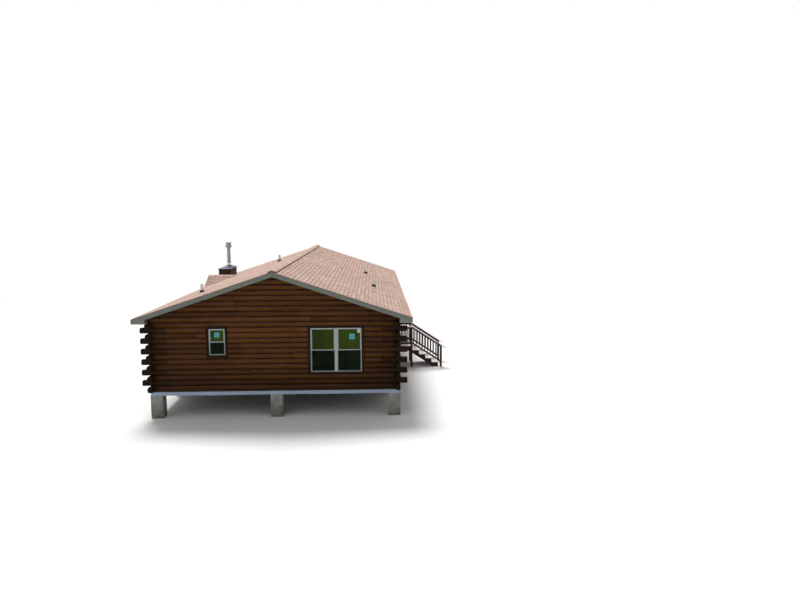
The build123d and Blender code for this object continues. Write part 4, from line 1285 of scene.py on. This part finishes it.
def prisms(outline, start, end):
    """An upright outline (x, z) for the right half of the front, carried along Y from start to end, and its
    three mirrored copies."""
    x, z = np.array(outline).T
    ends = np.array([[start], [end]])
    return [skin(stacked(side * x, way * ends, z)[None]) for side in (-1, 1) for way in (-1, 1)]


def falling(height, *runs):
    """Outline points at these distances from the ridge, on a line that falls from this height with the
    roof."""
    return [(run, height - run * roof_pitch) for run in runs]


def eave_panels():
    """Level panels under the eaves, with a space for the chase, and the four cheeks at their ends."""
    spans = {1: [(-groove_y, groove_y)], -1: [(-groove_y, chase_y[0]), (chase_y[1], groove_y)]}
    panel_head, cheek_head = logs_top + panel_thickness, panel_foot + panel_thickness - groove_x * roof_pitch
    panels, cheeks = [], []
    for side in (-1, 1):
        inner, middle, outer = side * groove_x, side * (groove_x + cheek_thickness), side * eave_inner
        panels += [((inner, a, logs_top), (outer, b, panel_head)) for a, b in spans[side]]
        for a, b in ((-groove_y, -rake_inner), (groove_y, rake_inner)):
            panels.append(((middle, a, logs_top), (outer, b, panel_head)))
            cheeks.append(((inner, a, logs_top), (middle, b, cheek_head)))
    return boxes_between(*panels), boxes_between(*cheeks)


rake_outline = [*falling(frame_apex, rake_gap, eave_x), (eave_x, logs_top), (foot_x, logs_top),
                *falling(rake_foot, rake_gap)]
return_outline = [(groove_x, logs_top), (foot_x, logs_top), *falling(rake_foot, groove_x)]
panel_outline = [*falling(panel_foot, rake_gap, groove_x),
                 *falling(panel_foot + panel_thickness, groove_x, rake_gap)]
level_panels, cheeks = eave_panels()
rakes = joined("rake_boards_cut", prisms(rake_outline, rake_inner, rake_y))
eased_piece("rake_boards_cut", rakes, "rake_boards")
soffit_shapes = [level_panels, *prisms(panel_outline, half_length, rake_inner)]
piece("soffit_boards", soffit_shapes, green_panels, "soffits")
eave_shapes = [cheeks, *prisms(return_outline, rake_inner, rake_y)]
piece("eave_boxes", eave_shapes, green_boards, "eave_returns")

# %% [markdown]
# A strip of coated metal covers the top of the rake boards and fascias, in their colour. The shingles come
# out just beyond it, so their dark cut edge shows as a thin line along the top of the roof's edge.

# %% Edge metal
metal_thickness = 0.002
metal_top = roof_apex - 0.022
metal_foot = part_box("drip_edge")[1].z - 0.055


def edge_strips():
    """Over each rake a band that falls with the roof, and over each fascia a box between the band's two
    heights at the eave."""
    outline = [*falling(metal_top, rake_gap, eave_x), *falling(metal_foot, eave_x, rake_gap)]
    rakes = prisms(outline, rake_y, rake_y + metal_thickness)
    foot, head = (height - eave_x * roof_pitch for height in (metal_foot, metal_top))
    spans = ((1, -rake_y, rake_y), (-1, -rake_y, chase_y[0]), (-1, chase_y[1], rake_y))
    outer = eave_x + metal_thickness
    eaves = [((side * eave_x, a, foot), (side * outer, b, head)) for side, a, b in spans]
    return [*rakes, boxes_between(*eaves)]


piece("edge_strips", edge_strips(), edge_metal, "drip_edge")

# %% [markdown]
# ## The small gable's face
#
# The siding goes on up under the small gable. A course there is only as wide as the gable is at its head,
# so each is cut in two bands, and the rake boards hide the steps.

# %% Small gable face
face_courses = 6
face_lap = 0.03
face_reach = cross_reach - 0.10
thinnest_band, narrowest_band = 0.01, 0.06
course_shift = 3.0
face_foot = roof_apex - half_width * roof_pitch - face_lap - floor_z
face_top = cross_apex - log_rounding * cross_stretch - face_lap - floor_z


def cross_face_blocks():
    """Courses between the main slope and the small one, as (from, to, foot, low, high) and what else a
    block has."""
    blocks = []
    for course in range(course_count, course_count + face_courses):
        foot, middle, head = ((course + share) * log_height for share in (0, 0.5, 1))
        for low, high in ((max(foot, face_foot), middle), (middle, head)):
            high = min(high, face_top)
            half = min((face_top - high) / cross_pitch + face_lap, face_reach)
            if high - low > thinnest_band and half > narrowest_band:
                rest = (0, 0, 0, 0.5, 0.0, 0.0, course_shift * course)
                blocks.append((-cross_y - half, half - cross_y, foot, low, high, *rest))
    return blocks


log_piece("cross_gable_logs", [logs("left", cross_face_blocks())], "cross_gable_face")

# %% [markdown]
# ## Chase
#
# The chase round the chimney is a box of the same siding on a frame, with a square post at each corner, and
# its courses line up with the wall's. It is hollow, and the flue runs up inside it. Each face is a small
# wall of its own: it gets its own axes, and the same blocks of log outline fill it between the posts. On
# its right face they start where the roof does.

# %% Chase
post_width = 0.089
siding_thickness = 0.05
siding_back = 0.035
siding_foot = 0.04 - floor_z
sheathing = 0.04
sheathing_foot, sheathing_top = 0.02, 0.005
roof_lap = 0.1
chase_height = chase_high.z - 0.004
walls["chase_front"] = ((0, -1, 0), -chase_low.y)
walls["chase_back"] = ((0, 1, 0), chase_high.y)
walls["chase_left"] = ((-1, 0, 0), -chase_low.x)
walls["chase_right"] = ((1, 0, 0), chase_high.x)


def chase_face(side, start, end, foot=siding_foot):
    """Courses of siding on one face of the chase, between its posts, from foot, above the floor, to the
    cover."""
    blocks = []
    top = chase_height - floor_z
    for course in range(int(np.floor(foot / log_height)), int(np.ceil(top / log_height))):
        low, high = max(course * log_height, foot), min((course + 1) * log_height, top)
        tone, shift = chance.random(2)
        rest = (0, 1, 1, tone, 0.0, 0.0, shift * log_span)
        blocks.append((start, end, course * log_height, low, high, *rest))
    return logs(side, blocks, thickness=siding_thickness)


def chase_walls():
    """The four boards of the frame's sheathing, one behind the siding of each face."""
    low = np.array(chase_low) + (siding_back, siding_back, sheathing_foot)
    high = np.array(chase_high) - (siding_back, siding_back, sheathing_top)
    near, far = low + sheathing, high - sheathing
    return boxes_between(
        (low, (near[0], high[1], high[2])),
        ((far[0], low[1], low[2]), high),
        ((near[0], low[1], low[2]), (far[0], near[1], high[2])),
        ((near[0], far[1], low[2]), (far[0], high[1], high[2])),
        stain=1.0,
    )


left, right = chase_low.x + post_width, chase_high.x - post_width
front, back = chase_low.y + post_width, chase_high.y - post_width
half_post = post_width / 2
post_places = [(x, y, chase_height / 2) for x in (left - half_post, right + half_post)
               for y in (front - half_post, back + half_post)]
posts = boards(post_places, (chase_height, post_width, post_width), along_z, edge=0.004, stain=0.55)
log_piece("chase_siding", [
    chase_face("chase_front", left, right),
    chase_face("chase_back", -right, -left),
    chase_face("chase_left", -back, -front),
    chase_face("chase_right", front, back, roof_apex - half_width * roof_pitch - floor_z - roof_lap),
    posts,
    chase_walls(),
], "chimney_chase")

# %% [markdown]
# ## Flue, cap and cover
#
# The cover is a folded sheet with a rim that hangs down over the siding; its upright faces are painted dark
# as painted shade, where the light misses them. The flue is a double-wall pipe in two lengths, joined by a
# locking band, with a bright storm collar at its foot that throws the rain off. Its cap is a tapered foot, a
# band, a waist where the smoke leaves, and a lid.

# %% Cover and flue
cover_low, cover_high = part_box("chase_cover")
flue_low, flue_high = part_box("flue_pipe")
cap_low, cap_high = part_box("flue_cap")
flue_at = ((flue_low.x + flue_high.x) / 2, (flue_low.y + flue_high.y) / 2)
flue_radius = (flue_high.x - flue_low.x) / 2
cap_radius = (cap_high.x - cap_low.x) / 2
flue_wall = 0.025
cover_rim = 0.028
cover_fold = 0.004
crown_half = 0.115


def chase_cover():
    """Rings from below up: the rim's inner foot, its outer foot, its top edge and the crown round the flue,
    each a rectangle. The middle is closed by the crown's own face, which the flue stands on."""
    edge = cover_rim - cover_fold
    steps = ((0.012, edge), (0.012, 0.0), (0.0, 0.0), (0.0, edge), (cover_fold, cover_rim))
    levels = [(cover_low.x + inset, cover_low.y + inset, cover_high.x - inset, cover_high.y - inset, up)
              for inset, up in steps]
    x, y = flue_at
    tall = cover_high.z - cover_low.z
    crown = (x - crown_half, y - crown_half, x + crown_half, y + crown_half)
    levels += [(*crown, tall - 0.003), (*crown, tall)]
    rings = [[(a, b, up), (c, b, up), (c, d, up), (a, d, up)] for a, b, c, d, up in levels]
    return skin(np.array(rings)[None] + (0, 0, cover_low.z))


def rounded_outline(points, turn):
    """A closed outline with each corner replaced by two points, a short way along its two edges."""
    points = np.array(points)
    ends = []
    for way in (1, -1):
        edge = np.roll(points, way, axis=0) - points
        length = np.linalg.norm(edge, axis=1, keepdims=True)
        ends.append(points + edge / length * np.minimum(turn, length * 0.3))
    return np.stack(ends, 1).reshape(-1, 2)


def flue_outline():
    """The pipe's wall with a locking band half way up; radius and height above its foot."""
    tall = flue_high.z - flue_low.z
    band = tall * 0.52
    outer, inner = flue_radius - 0.003, flue_radius - flue_wall
    return [(outer, 0.0), (outer, band - 0.022), (flue_radius, band - 0.018), (flue_radius, band + 0.018),
            (outer, band + 0.022), (outer, tall), (inner, tall), (inner, 0.0)]


def collar_outline():
    """A thin cone round the pipe's foot."""
    reaches = np.array([-0.004, 0.004, 0.008, 0.055, 0.052, -0.004])
    return stacked(flue_radius + reaches, (0.105, 0.105, 0.088, 0.040, 0.036, 0.075))


def cap_outline():
    """The cap's outline in the same steps as the packed one, with a band drawn round and a slightly domed
    lid."""
    tall = cap_high.z - cap_low.z
    waist, foot, band, lid = 0.76 * cap_radius, 0.045, 0.143, tall - 0.060
    return [(0.0001, 0.004), (flue_radius + 0.002, 0.004), (cap_radius, foot), (cap_radius, band - 0.003),
            (cap_radius - 0.006, band), (waist, band), (waist, lid), (cap_radius, lid),
            (cap_radius, tall - 0.012), (cap_radius * 0.55, tall - 0.003), (0.0001, tall)]


piece("chase_cover_folded", [chase_cover()], cover_zinc, "chase_cover")
pipe_foot = (*flue_at, flue_low.z)
flue = turned(rounded_outline(flue_outline(), 0.003), pipe_foot)
piece("flue_sections", [flue], flue_steel, "flue_pipe", rounded=30)
piece("storm_collar", [turned(collar_outline(), pipe_foot)], bright_steel, rounded=30)
cap = turned(cap_outline(), (*flue_at, cap_low.z))
piece("flue_cap_spun", [cap], flue_steel, "flue_cap", rounded=30)

# %% [markdown]
# ## Drain vents
#
# Four plastic pipes come up through the roof to let air into the drains. Each has a flat flashing that lies
# on the shingles, with a rubber boot that grips the pipe.

# %% Vents
vent_places = ((-3.10, -5.60), (-1.23, 1.62), (2.93, 1.22), (3.31, -3.35))
vent_sides = 40
vent_radius = 0.057
vent_bore = 0.051
vent_foot = 0.03
vent_height = 0.300
boot_height = 0.075
boot_radii = np.array([0.108, 0.098, 0.088, 0.077, 0.069, 0.064, 0.058, 0.058])
boot_shares = np.array([0.0, 0.10, 0.30, 0.62, 0.90, 1.0, 0.99, 0.55])
plate_width = 0.230
plate_thickness = 0.004


def roof_at(x):
    """Height of the main roof's surface at this distance from its ridge."""
    return roof_apex - np.abs(x) * roof_pitch


def vent_boot(x, y):
    """A cone whose foot follows the roof's slope. At angle t the foot's height is that of the roof at x + r
    cos t, the crown is level, and between them the radius shrinks with a slight hollow."""
    angle = np.linspace(0, 2 * np.pi, vent_sides, endpoint=False)
    ring_x = x + boot_radii[:, None] * np.cos(angle)
    ring_y = y + boot_radii[:, None] * np.sin(angle)
    foot = roof_at(ring_x)
    ring_z = foot + (roof_at(x) + boot_height - foot) * boot_shares[:, None]
    return skin(stacked(ring_x, ring_y, ring_z)[None])


def vent_plate(x, y):
    """A square plate flat on the slope. Its own axes are along the ridge, up the slope and out from it."""
    side = np.sign(x)
    axes = np.array(((0, slope_stretch, 0), (-side, 0, roof_pitch), (side * roof_pitch, 0, 1)))
    middle = on_slope(side, y, (eave_x - abs(x)) * slope_stretch, plate_thickness / 2)
    return boards(middle, (plate_width, plate_width, plate_thickness), axes / slope_stretch, edge=0.001)


def vent_pipe(x, y):
    """A pipe's wall, from its bore to its outside, turned round the upright axis at this place."""
    outline = [(vent_radius, vent_foot), (vent_radius, vent_height),
               (vent_bore, vent_height), (vent_bore, vent_foot)]
    return turned(rounded_outline(outline, 0.0015), (x, y, roof_at(x)), vent_sides)


pipes = [vent_pipe(*at) for at in vent_places]
piece("vent_stacks", pipes, pipe_plastic, "vent_pipes", rounded=30)
boots = [shape for at in vent_places for shape in (vent_boot(*at), vent_plate(*at))]
piece("vent_boots", boots, black_rubber, "vent_flashings", rounded=35)

# %% [markdown]
# ## Windows
#
# A double-hung window is three frames of vinyl profile, one in the other: the outer frame, the upper sash
# in front and the lower sash behind it, all with mitred and welded corners. So each frame is one outline
# carried round a rectangle. At each corner the outline's points lie on the mitre: their distance from the
# edge is the same both ways. An insect screen stands in front of each lower sash, which, with the darker
# painted reflection of their glass, is why the lower panes look darker.

# %% Windows
window_fit = 0.006
window_depth = 0.080
frame_face = 0.028
sash_face = 0.030
sash_depth = 0.030
upper_sash, lower_sash = 0.015, 0.045
mull_width = 0.032
pane_thickness = 0.018
pane_set_back = (sash_depth - pane_thickness) / 2
screen_face = 0.016
screen_lap = 0.006
screen_drop, screen_rise = 0.007, 0.004
mesh_depth = 0.009
mesh_thickness = 0.0006
outer_outline = [(0, 0.003), (0.003, 0), (frame_face - 0.010, 0), (frame_face - 0.007, 0.003),
                 (frame_face - 0.007, 0.009), (frame_face, 0.010), (frame_face, window_depth),
                 (0, window_depth)]
sash_outline = np.array([(0, 0.002), (0.002, 0), (sash_face - 0.010, 0), (sash_face - 0.001, 0.005),
                         (sash_face, 0.006), (sash_face, sash_depth), (0, sash_depth)])
screen_outline = [(0, 0.006), (0.001, 0.005), (screen_face - 0.001, 0.005), (screen_face, 0.006),
                  (screen_face, 0.013), (0, 0.013)]


def mitred_frame(side, centre, half, foot, head, outline):
    """The outline is (inset from the edge, depth behind the wall's groove). Corner after corner, a point
    lies at the centre plus or minus (half less inset), and at the foot plus, or the head minus, the
    inset."""
    inset, depth = np.array(outline).T
    left, right = centre - half + inset, centre + half - inset
    low, high = foot + inset, head - inset
    rings = on_wall(side, [left, right, right, left], [low, low, high, high], -log_rounding - depth)
    return closed_loop(rings, rings)


def sheet_in(side, centre, half, foot, head, depth, thickness):
    """A pane or a screen, its face this deep behind the wall's groove."""
    middle = on_wall(side, centre, (foot + head) / 2, -log_rounding - depth - thickness / 2)
    return boards(middle, (2 * half, head - foot, thickness), wall_axes(side), edge=0)


def window_units(at, size):
    """Centres and half width of the units in one hole: a small window is one, a wide one is two with a mull
    between."""
    units = 2 if size[0] > 1 else 1
    unit = (size[0] - 2 * window_fit - (units - 1) * mull_width) / units
    return [at + (i - (units - 1) / 2) * (unit + mull_width) for i in range(units)], unit / 2


def window_shapes(side, uppers, lowers, screens):
    """All vinyl of one wall's windows. Their upper panes, lower panes and screens are added to the lists
    given."""
    vinyls = []
    for at, size in walls[side][3]:
        centres, half = window_units(at, size)
        foot, head = window_head - size[1], window_head - window_fit
        middle = (foot + head) / 2
        inner = half - frame_face
        sashes = ((uppers, upper_sash, middle - sash_face / 2, head - frame_face),
                  (lowers, lower_sash, foot + frame_face, middle + sash_face / 2))
        for centre in centres:
            vinyls.append(mitred_frame(side, centre, half, foot, head, outer_outline))
            for panes, depth, low, high in sashes:
                vinyls.append(mitred_frame(side, centre, inner, low, high, sash_outline + (0, depth)))
                place = (inner - sash_face, low + sash_face, high - sash_face, depth + pane_set_back)
                panes.append(sheet_in(side, centre, *place, pane_thickness))
            wide = inner + screen_lap
            low, high = foot + frame_face - screen_drop, middle + screen_rise
            vinyls.append(mitred_frame(side, centre, wide, low, high, screen_outline))
            place = (wide - screen_face / 2, low + screen_face / 2, high - screen_face / 2, mesh_depth)
            screens.append(sheet_in(side, centre, *place, mesh_thickness))
        if len(centres) == 2:
            mull = on_wall(side, sum(centres) / 2, middle, 0.001 - log_rounding - window_depth / 2)
            mull_size = (mull_width - 0.001, head - foot, window_depth + 0.002)
            vinyls.append(boards(mull, mull_size, wall_axes(side), edge=0.002))
    return vinyls


front_uppers, side_uppers, all_lowers, all_screens = [], [], [], []
for side in house_sides:
    uppers = front_uppers if side == "front" else side_uppers
    vinyls = window_shapes(side, uppers, all_lowers, all_screens)
    piece(f"{side}_vinyl_windows", vinyls, vinyl, f"{side}_window_frames", rounded=30)
piece("front_upper_panes", front_uppers, upper_glass_painted_reflection, "window_glass")
piece("side_upper_panes", side_uppers, side_glass, "window_glass")
piece("lower_panes", all_lowers, lower_glass, "window_glass")
piece("insect_screens", all_screens, screen_mesh)

# %% [markdown]
# New windows still carry paper stickers. In the photograph there is one on each front window and a pale
# slip in the corner of a pane. They are left blank here.

# %% Stickers
teal_paper = plain_coat("teal_paper", (0.085, 0.330, 0.360), (0.060, 0.270, 0.300), 0.6)
pale_paper = plain_coat("pale_paper", (0.52, 0.66, 0.50), (0.45, 0.60, 0.44), 0.6)
paper_thickness = 0.0006
paper_depth = upper_sash + pane_set_back - 0.0008
(small_at, _), twin_at = walls["front"][3]
twin_centres, twin_half = window_units(*twin_at)
pane_edge = twin_centres[1] + twin_half - frame_face - sash_face
pane_top = window_head - window_fit - frame_face - sash_face


def sticker(along, down, size):
    """A sheet of paper on the outside of an upper pane; its middle lies this far down from the pane's
    head."""
    middle = on_wall("front", along, pane_top - down, -log_rounding - paper_depth)
    return boards(middle, (*size, paper_thickness), wall_axes("front"), edge=0)


teal = [sticker(small_at, 0.16, (0.17, 0.17)), sticker(pane_edge - 0.27, 0.25, (0.19, 0.19))]
piece("teal_stickers", teal, teal_paper)
piece("pale_sticker", [sticker(pane_edge - 0.045, 0.06, (0.088, 0.118))], pale_paper)

# %% [markdown]
# ## Boards round the openings
#
# Dark boards are let into the logs round every opening. The head and the sill run across, and the side
# boards stand between them.

# %% Opening boards
trim_width = 0.089
trim_proud = 0.007
trim_lap = trim_width - trim_reach
trim_thickness = log_rounding + trim_proud
trim_out = trim_proud - trim_thickness / 2


def opening_boards(side, at, width, foot, head, with_sill=True):
    """Boards that lap the hole by the trim's width less its reach."""
    axes = wall_axes(side)
    ups = [head - trim_lap + trim_width / 2, *[foot + trim_lap - trim_width / 2] * with_sill]
    low, high = foot + trim_lap * with_sill, head - trim_lap
    across = (width + 2 * trim_reach, trim_width, trim_thickness)
    upright = (high - low, trim_width, trim_thickness)
    reach = (width - trim_width) / 2 + trim_reach
    stiles = on_wall(side, (at - reach, at + reach), (low + high) / 2, trim_out)
    return [boards(on_wall(side, at, ups, trim_out), across, axes, edge=0.004),
            boards(stiles, upright, axes[[1, 0, 2]], edge=0.004)]


trim = []
for side in house_sides:
    for at, (w, h) in walls[side][3]:
        trim += opening_boards(side, at, w, window_head - h, window_head)
door_at, door_width, door_head = door_hole
trim += opening_boards("right", door_at, door_width, 0.0, door_head, with_sill=False)
piece("opening_boards", trim, brown_boards, "opening_trim")
dress(door_skin, "door_leaf", "door_frame")

# %% [markdown]
# ## Piers and rim
#
# A pier is four courses of two concrete blocks, each course laid across the one below, with 8 mm of mortar
# between. The mortar is a slightly smaller core that shows in the joints. Round the floor runs a pale sheet
# whose lower edge waves a little: its height is a sum of three sines of the way along. Its blue is partly
# the sheet's own and partly painted sky light. Above it the rim is painted near-black, as the shadow under
# the lowest logs.

# %% Piers and rim
pier_width = 0.40
pier_height = 0.80
pier_courses = 4
mortar = 0.008
mortar_inset = 0.010
pier_places = np.array([(x, y, 0.0) for x in (-3.99, 0.0, 3.99) for y in np.linspace(-8.308, 8.308, 7)])
rim_low, rim_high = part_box("floor_rim")
sheet_drop = 0.045
sheet_foot = rim_low.z - floor_z - 0.016
sheet_step = 0.12
sheet_wave = 0.007
sheet_stand, sheet_sway = 0.004, 0.0025
sheet_thickness = 0.002
ripples = ((0.31, 1.7), (0.83, 2.9), (1.9, 4.3))


def pier_blocks():
    """One pier's eight blocks, two by two, are worked out first and then set at every place."""
    course, half = np.divmod(np.arange(2 * pier_courses), 2)
    tall = pier_height / pier_courses
    narrow = (pier_width - mortar) / 2
    shift = (half - 0.5) * (narrow + mortar)
    crossed = course % 2 == 1
    offset = stacked(np.where(crossed, 0, shift), np.where(crossed, shift, 0), (course + 0.5) * tall)
    size = stacked(*np.where(crossed, [[pier_width], [narrow]], [[narrow], [pier_width]]), tall - mortar)
    centres = (pier_places[:, None] + offset).reshape(-1, 3)
    core = (pier_width - mortar_inset, pier_width - mortar_inset, pier_height)
    return [boards(centres, np.tile(size, (len(pier_places), 1)), edge=0.004),
            boards(pier_places + (0, 0, pier_height / 2), core, edge=0, tone=0.3)]


def rim_sheet(side, reach, half, phase):
    """A thin sheet on the rim's face: its lower edge hangs 7 mm lower or higher at most, and its foot
    stands out by 4 mm, give or take 2.5, both as sums of sines of the way along."""
    along = np.linspace(-half, half, int(half * 2 / sheet_step))[:, None]
    wave = sum(np.sin(along * rate * 2 * np.pi + phase * turn) / len(ripples) for rate, turn in ripples)
    foot, head = sheet_foot + sheet_wave * wave, 0 * wave - sheet_drop
    stand = sheet_stand + sheet_sway * np.roll(wave, 5)
    up = np.concatenate([foot, head, head, foot], 1)
    proud = np.concatenate([stand, 0 * stand + sheet_thickness, 0 * stand, 0 * stand], 1)
    out = reach - walls[side][1] + proud
    return skin(on_wall(side, along, up, out)[None], grain=stacked(along, up, out))


piece("pier_masonry", pier_blocks(), block_masonry, "block_piers")
# The rim shows only above the sheet, painted near-black as shadow.
dress(rim_painted_shadow, "floor_rim")
sheets = []
for phase, side in enumerate(house_sides, 1):
    reach, half = (rim_high.y, rim_high.x) if side in ("front", "back") else (rim_high.x, rim_high.y)
    sheets.append(rim_sheet(side, reach, half, phase))
piece("rim_sheet", sheets, rim_paint_sky_tinted)

# %% [markdown]
# ## Landing and stair
#
# The landing is a small deck on posts, level with the door's sill, and a stair of five rises leads down
# from it away from the wall. Its rails follow the landing and then the stair. Each rail's outline is
# carried from the wall, past the landing's edge where it is mitred, and down to the newel.

# %% Landing and stair
landing_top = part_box("landing_boards")[1].z
landing_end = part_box("landing_frame")[1].x
landing_middle = (half_width + landing_end) / 2
stair_width = 1.230
risers = 5
rise = landing_top / risers
going = 0.285
slope_down = rise / going
down_stretch = np.hypot(1, slope_down)
stair_post = 0.089
newel_at = half_width + 2.115
rail_foot, handrail_end = half_width + 0.017, half_width + 2.330
most_balusters = 20
lumber = 0.038
frame_depth = 0.184
string_depth = 0.235
deck_thickness = 0.025
deck_width = 0.140
deck_pitch = 0.146
board_gap = 0.006
nosing = 0.020
baluster_pitch = 0.125
post_top = landing_top + 0.915 - lumber
low_rail_top = landing_top + 0.090 + stair_post
deck_across = stair_width - stair_post


def stair_line(x):
    """How far the stair has come down at x."""
    return np.maximum(0, x - landing_end) * slope_down


def stair_posts():
    """Pairs of posts at the wall, at the landing's edge and at the stair's foot. A post's top is the
    handrail's height less what the stair has come down at the post's outer side."""
    x = np.repeat((half_width + stair_post / 2, landing_end - stair_post / 2, newel_at), 2)
    y = door_at + np.tile((-stair_width / 2, stair_width / 2), 3)
    top = post_top - stair_line(x + stair_post / 2)
    return boards(stacked(x, y, top / 2), stacked(top, stair_post, stair_post), along_z, edge=0.004)


def landing_frame():
    """Two boards along the wall and the outer edge, and four joists between them."""
    z = landing_top - deck_thickness - frame_depth / 2
    ends = np.array((half_width + lumber / 2, landing_end - lumber / 2))
    edge_joist = (deck_across - lumber) / 2
    rows = door_at + np.array((-edge_joist, -deck_across / 6, deck_across / 6, edge_joist))
    reach = landing_end - half_width - 2 * lumber
    return [boards(stacked(ends, door_at, z), (deck_across, lumber, frame_depth), along_y),
            boards(stacked(landing_middle, rows, z), (reach, lumber, frame_depth))]


def deck_boards():
    """Five boards side by side, one pitch apart, counted from the landing's middle."""
    x = landing_middle + (np.arange(5) - 2) * deck_pitch
    places = stacked(x, door_at, landing_top - deck_thickness / 2)
    return boards(places, (deck_across, deck_width, deck_thickness), along_y)


def treads():
    """Two boards to a tread, the front one standing out over the riser by the nosing."""
    step, pair = np.divmod(np.arange(2 * (risers - 1)), 2)
    width = (going + nosing - board_gap) / 2
    x = landing_end + step * going + pair * (width + board_gap) + width / 2
    z = landing_top - (step + 1) * rise - lumber / 2
    return boards(stacked(x, door_at, z), (deck_across, width, lumber), along_y, edge=0.005)


def stringers():
    """Three boards with the steps sawn out, as one outline given a thickness three times. Their grain runs
    down the slope: it is the place turned by the slope's angle."""
    outline = [(landing_end, landing_top - rise - lumber)]
    for i in range(1, risers):
        x, level = landing_end + i * going, landing_top - i * rise - lumber
        outline += [(x, level), (x, level - rise if i < risers - 1 else 0.0)]
    drop = landing_top - lumber - string_depth * down_stretch
    outline += [(landing_end + drop / slope_down, 0.0), (landing_end, drop)]
    x, z = np.array(outline).T
    reach = (deck_across - lumber) / 2
    y = door_at + np.array((-reach, 0, reach))[:, None, None] + np.array((-lumber, lumber))[:, None] / 2
    rings = stacked(x, y, z)
    grain = stacked(x - z * slope_down, z + x * slope_down, 0.0) / down_stretch + 0 * rings
    return skin(rings, grain=grain)


def rail(y, low, high, wide, end, edge=0.004, worn_and_highlit=0.0):
    """A rail with cut edges, in upright sections at the wall, at the landing's edge and at its end. The
    grain counts the way along the rail, which is longer than X where it slopes."""
    x = np.array((rail_foot, landing_end, end))[:, None]
    outer, inner = wide / 2, wide / 2 - edge
    across = np.array((-outer, -inner, inner, outer, outer, inner, -inner, -outer))
    up = np.array((low + edge, low, low, low + edge, high - edge, high, high, high - edge))
    way = x + stair_line(x) / slope_down * (down_stretch - 1)
    grain = stacked(way, across, up) + chance.random(3) * grain_span
    return skin(stacked(x, y + across, up - stair_line(x))[None], grain=grain, stain=worn_and_highlit)


def railings():
    """On each side a handrail over the posts, two rails inside them, and balusters a pitch apart, which
    reach half way into both rails and follow the stair down."""
    shapes = []
    for way in (-1, 1):
        line = door_at + way * stair_width / 2
        inner = line - way * (stair_post + lumber) / 2
        # The handrails turn pale all round: partly wear, partly a painted highlight.
        shapes.append(rail(line, post_top, post_top + lumber, deck_width, handrail_end, worn_and_highlit=1.0))
        shapes += [rail(inner, top - stair_post, top, lumber, newel_at) for top in (post_top, low_rail_top)]
        x = rail_foot + baluster_pitch * np.arange(1, most_balusters)
        x = x[x < newel_at - lumber]
        middle = (low_rail_top + post_top - stair_post) / 2 - stair_line(x)
        places = stacked(x, inner - way * 0.0005, middle)
        shapes.append(boards(places, (post_top - low_rail_top, lumber, lumber), along_z, edge=0.002))
    return shapes


for name, shapes, node in (
    ("stair_posts_cut", [stair_posts()], "stair_posts"),
    ("landing_framing", landing_frame(), "landing_frame"),
    ("landing_deck", [deck_boards()], "landing_boards"),
    ("stair_tread_boards", [treads()], "stair_treads"),
    ("stair_stringer_boards", [stringers()], "stair_stringers"),
    ("stair_rails", railings(), "stair_railings"),
):
    piece(name, shapes, stair_boards, node)

# %% [markdown]
# ## Size and finish
#
# The dressed cabin must be the size of the packed one.
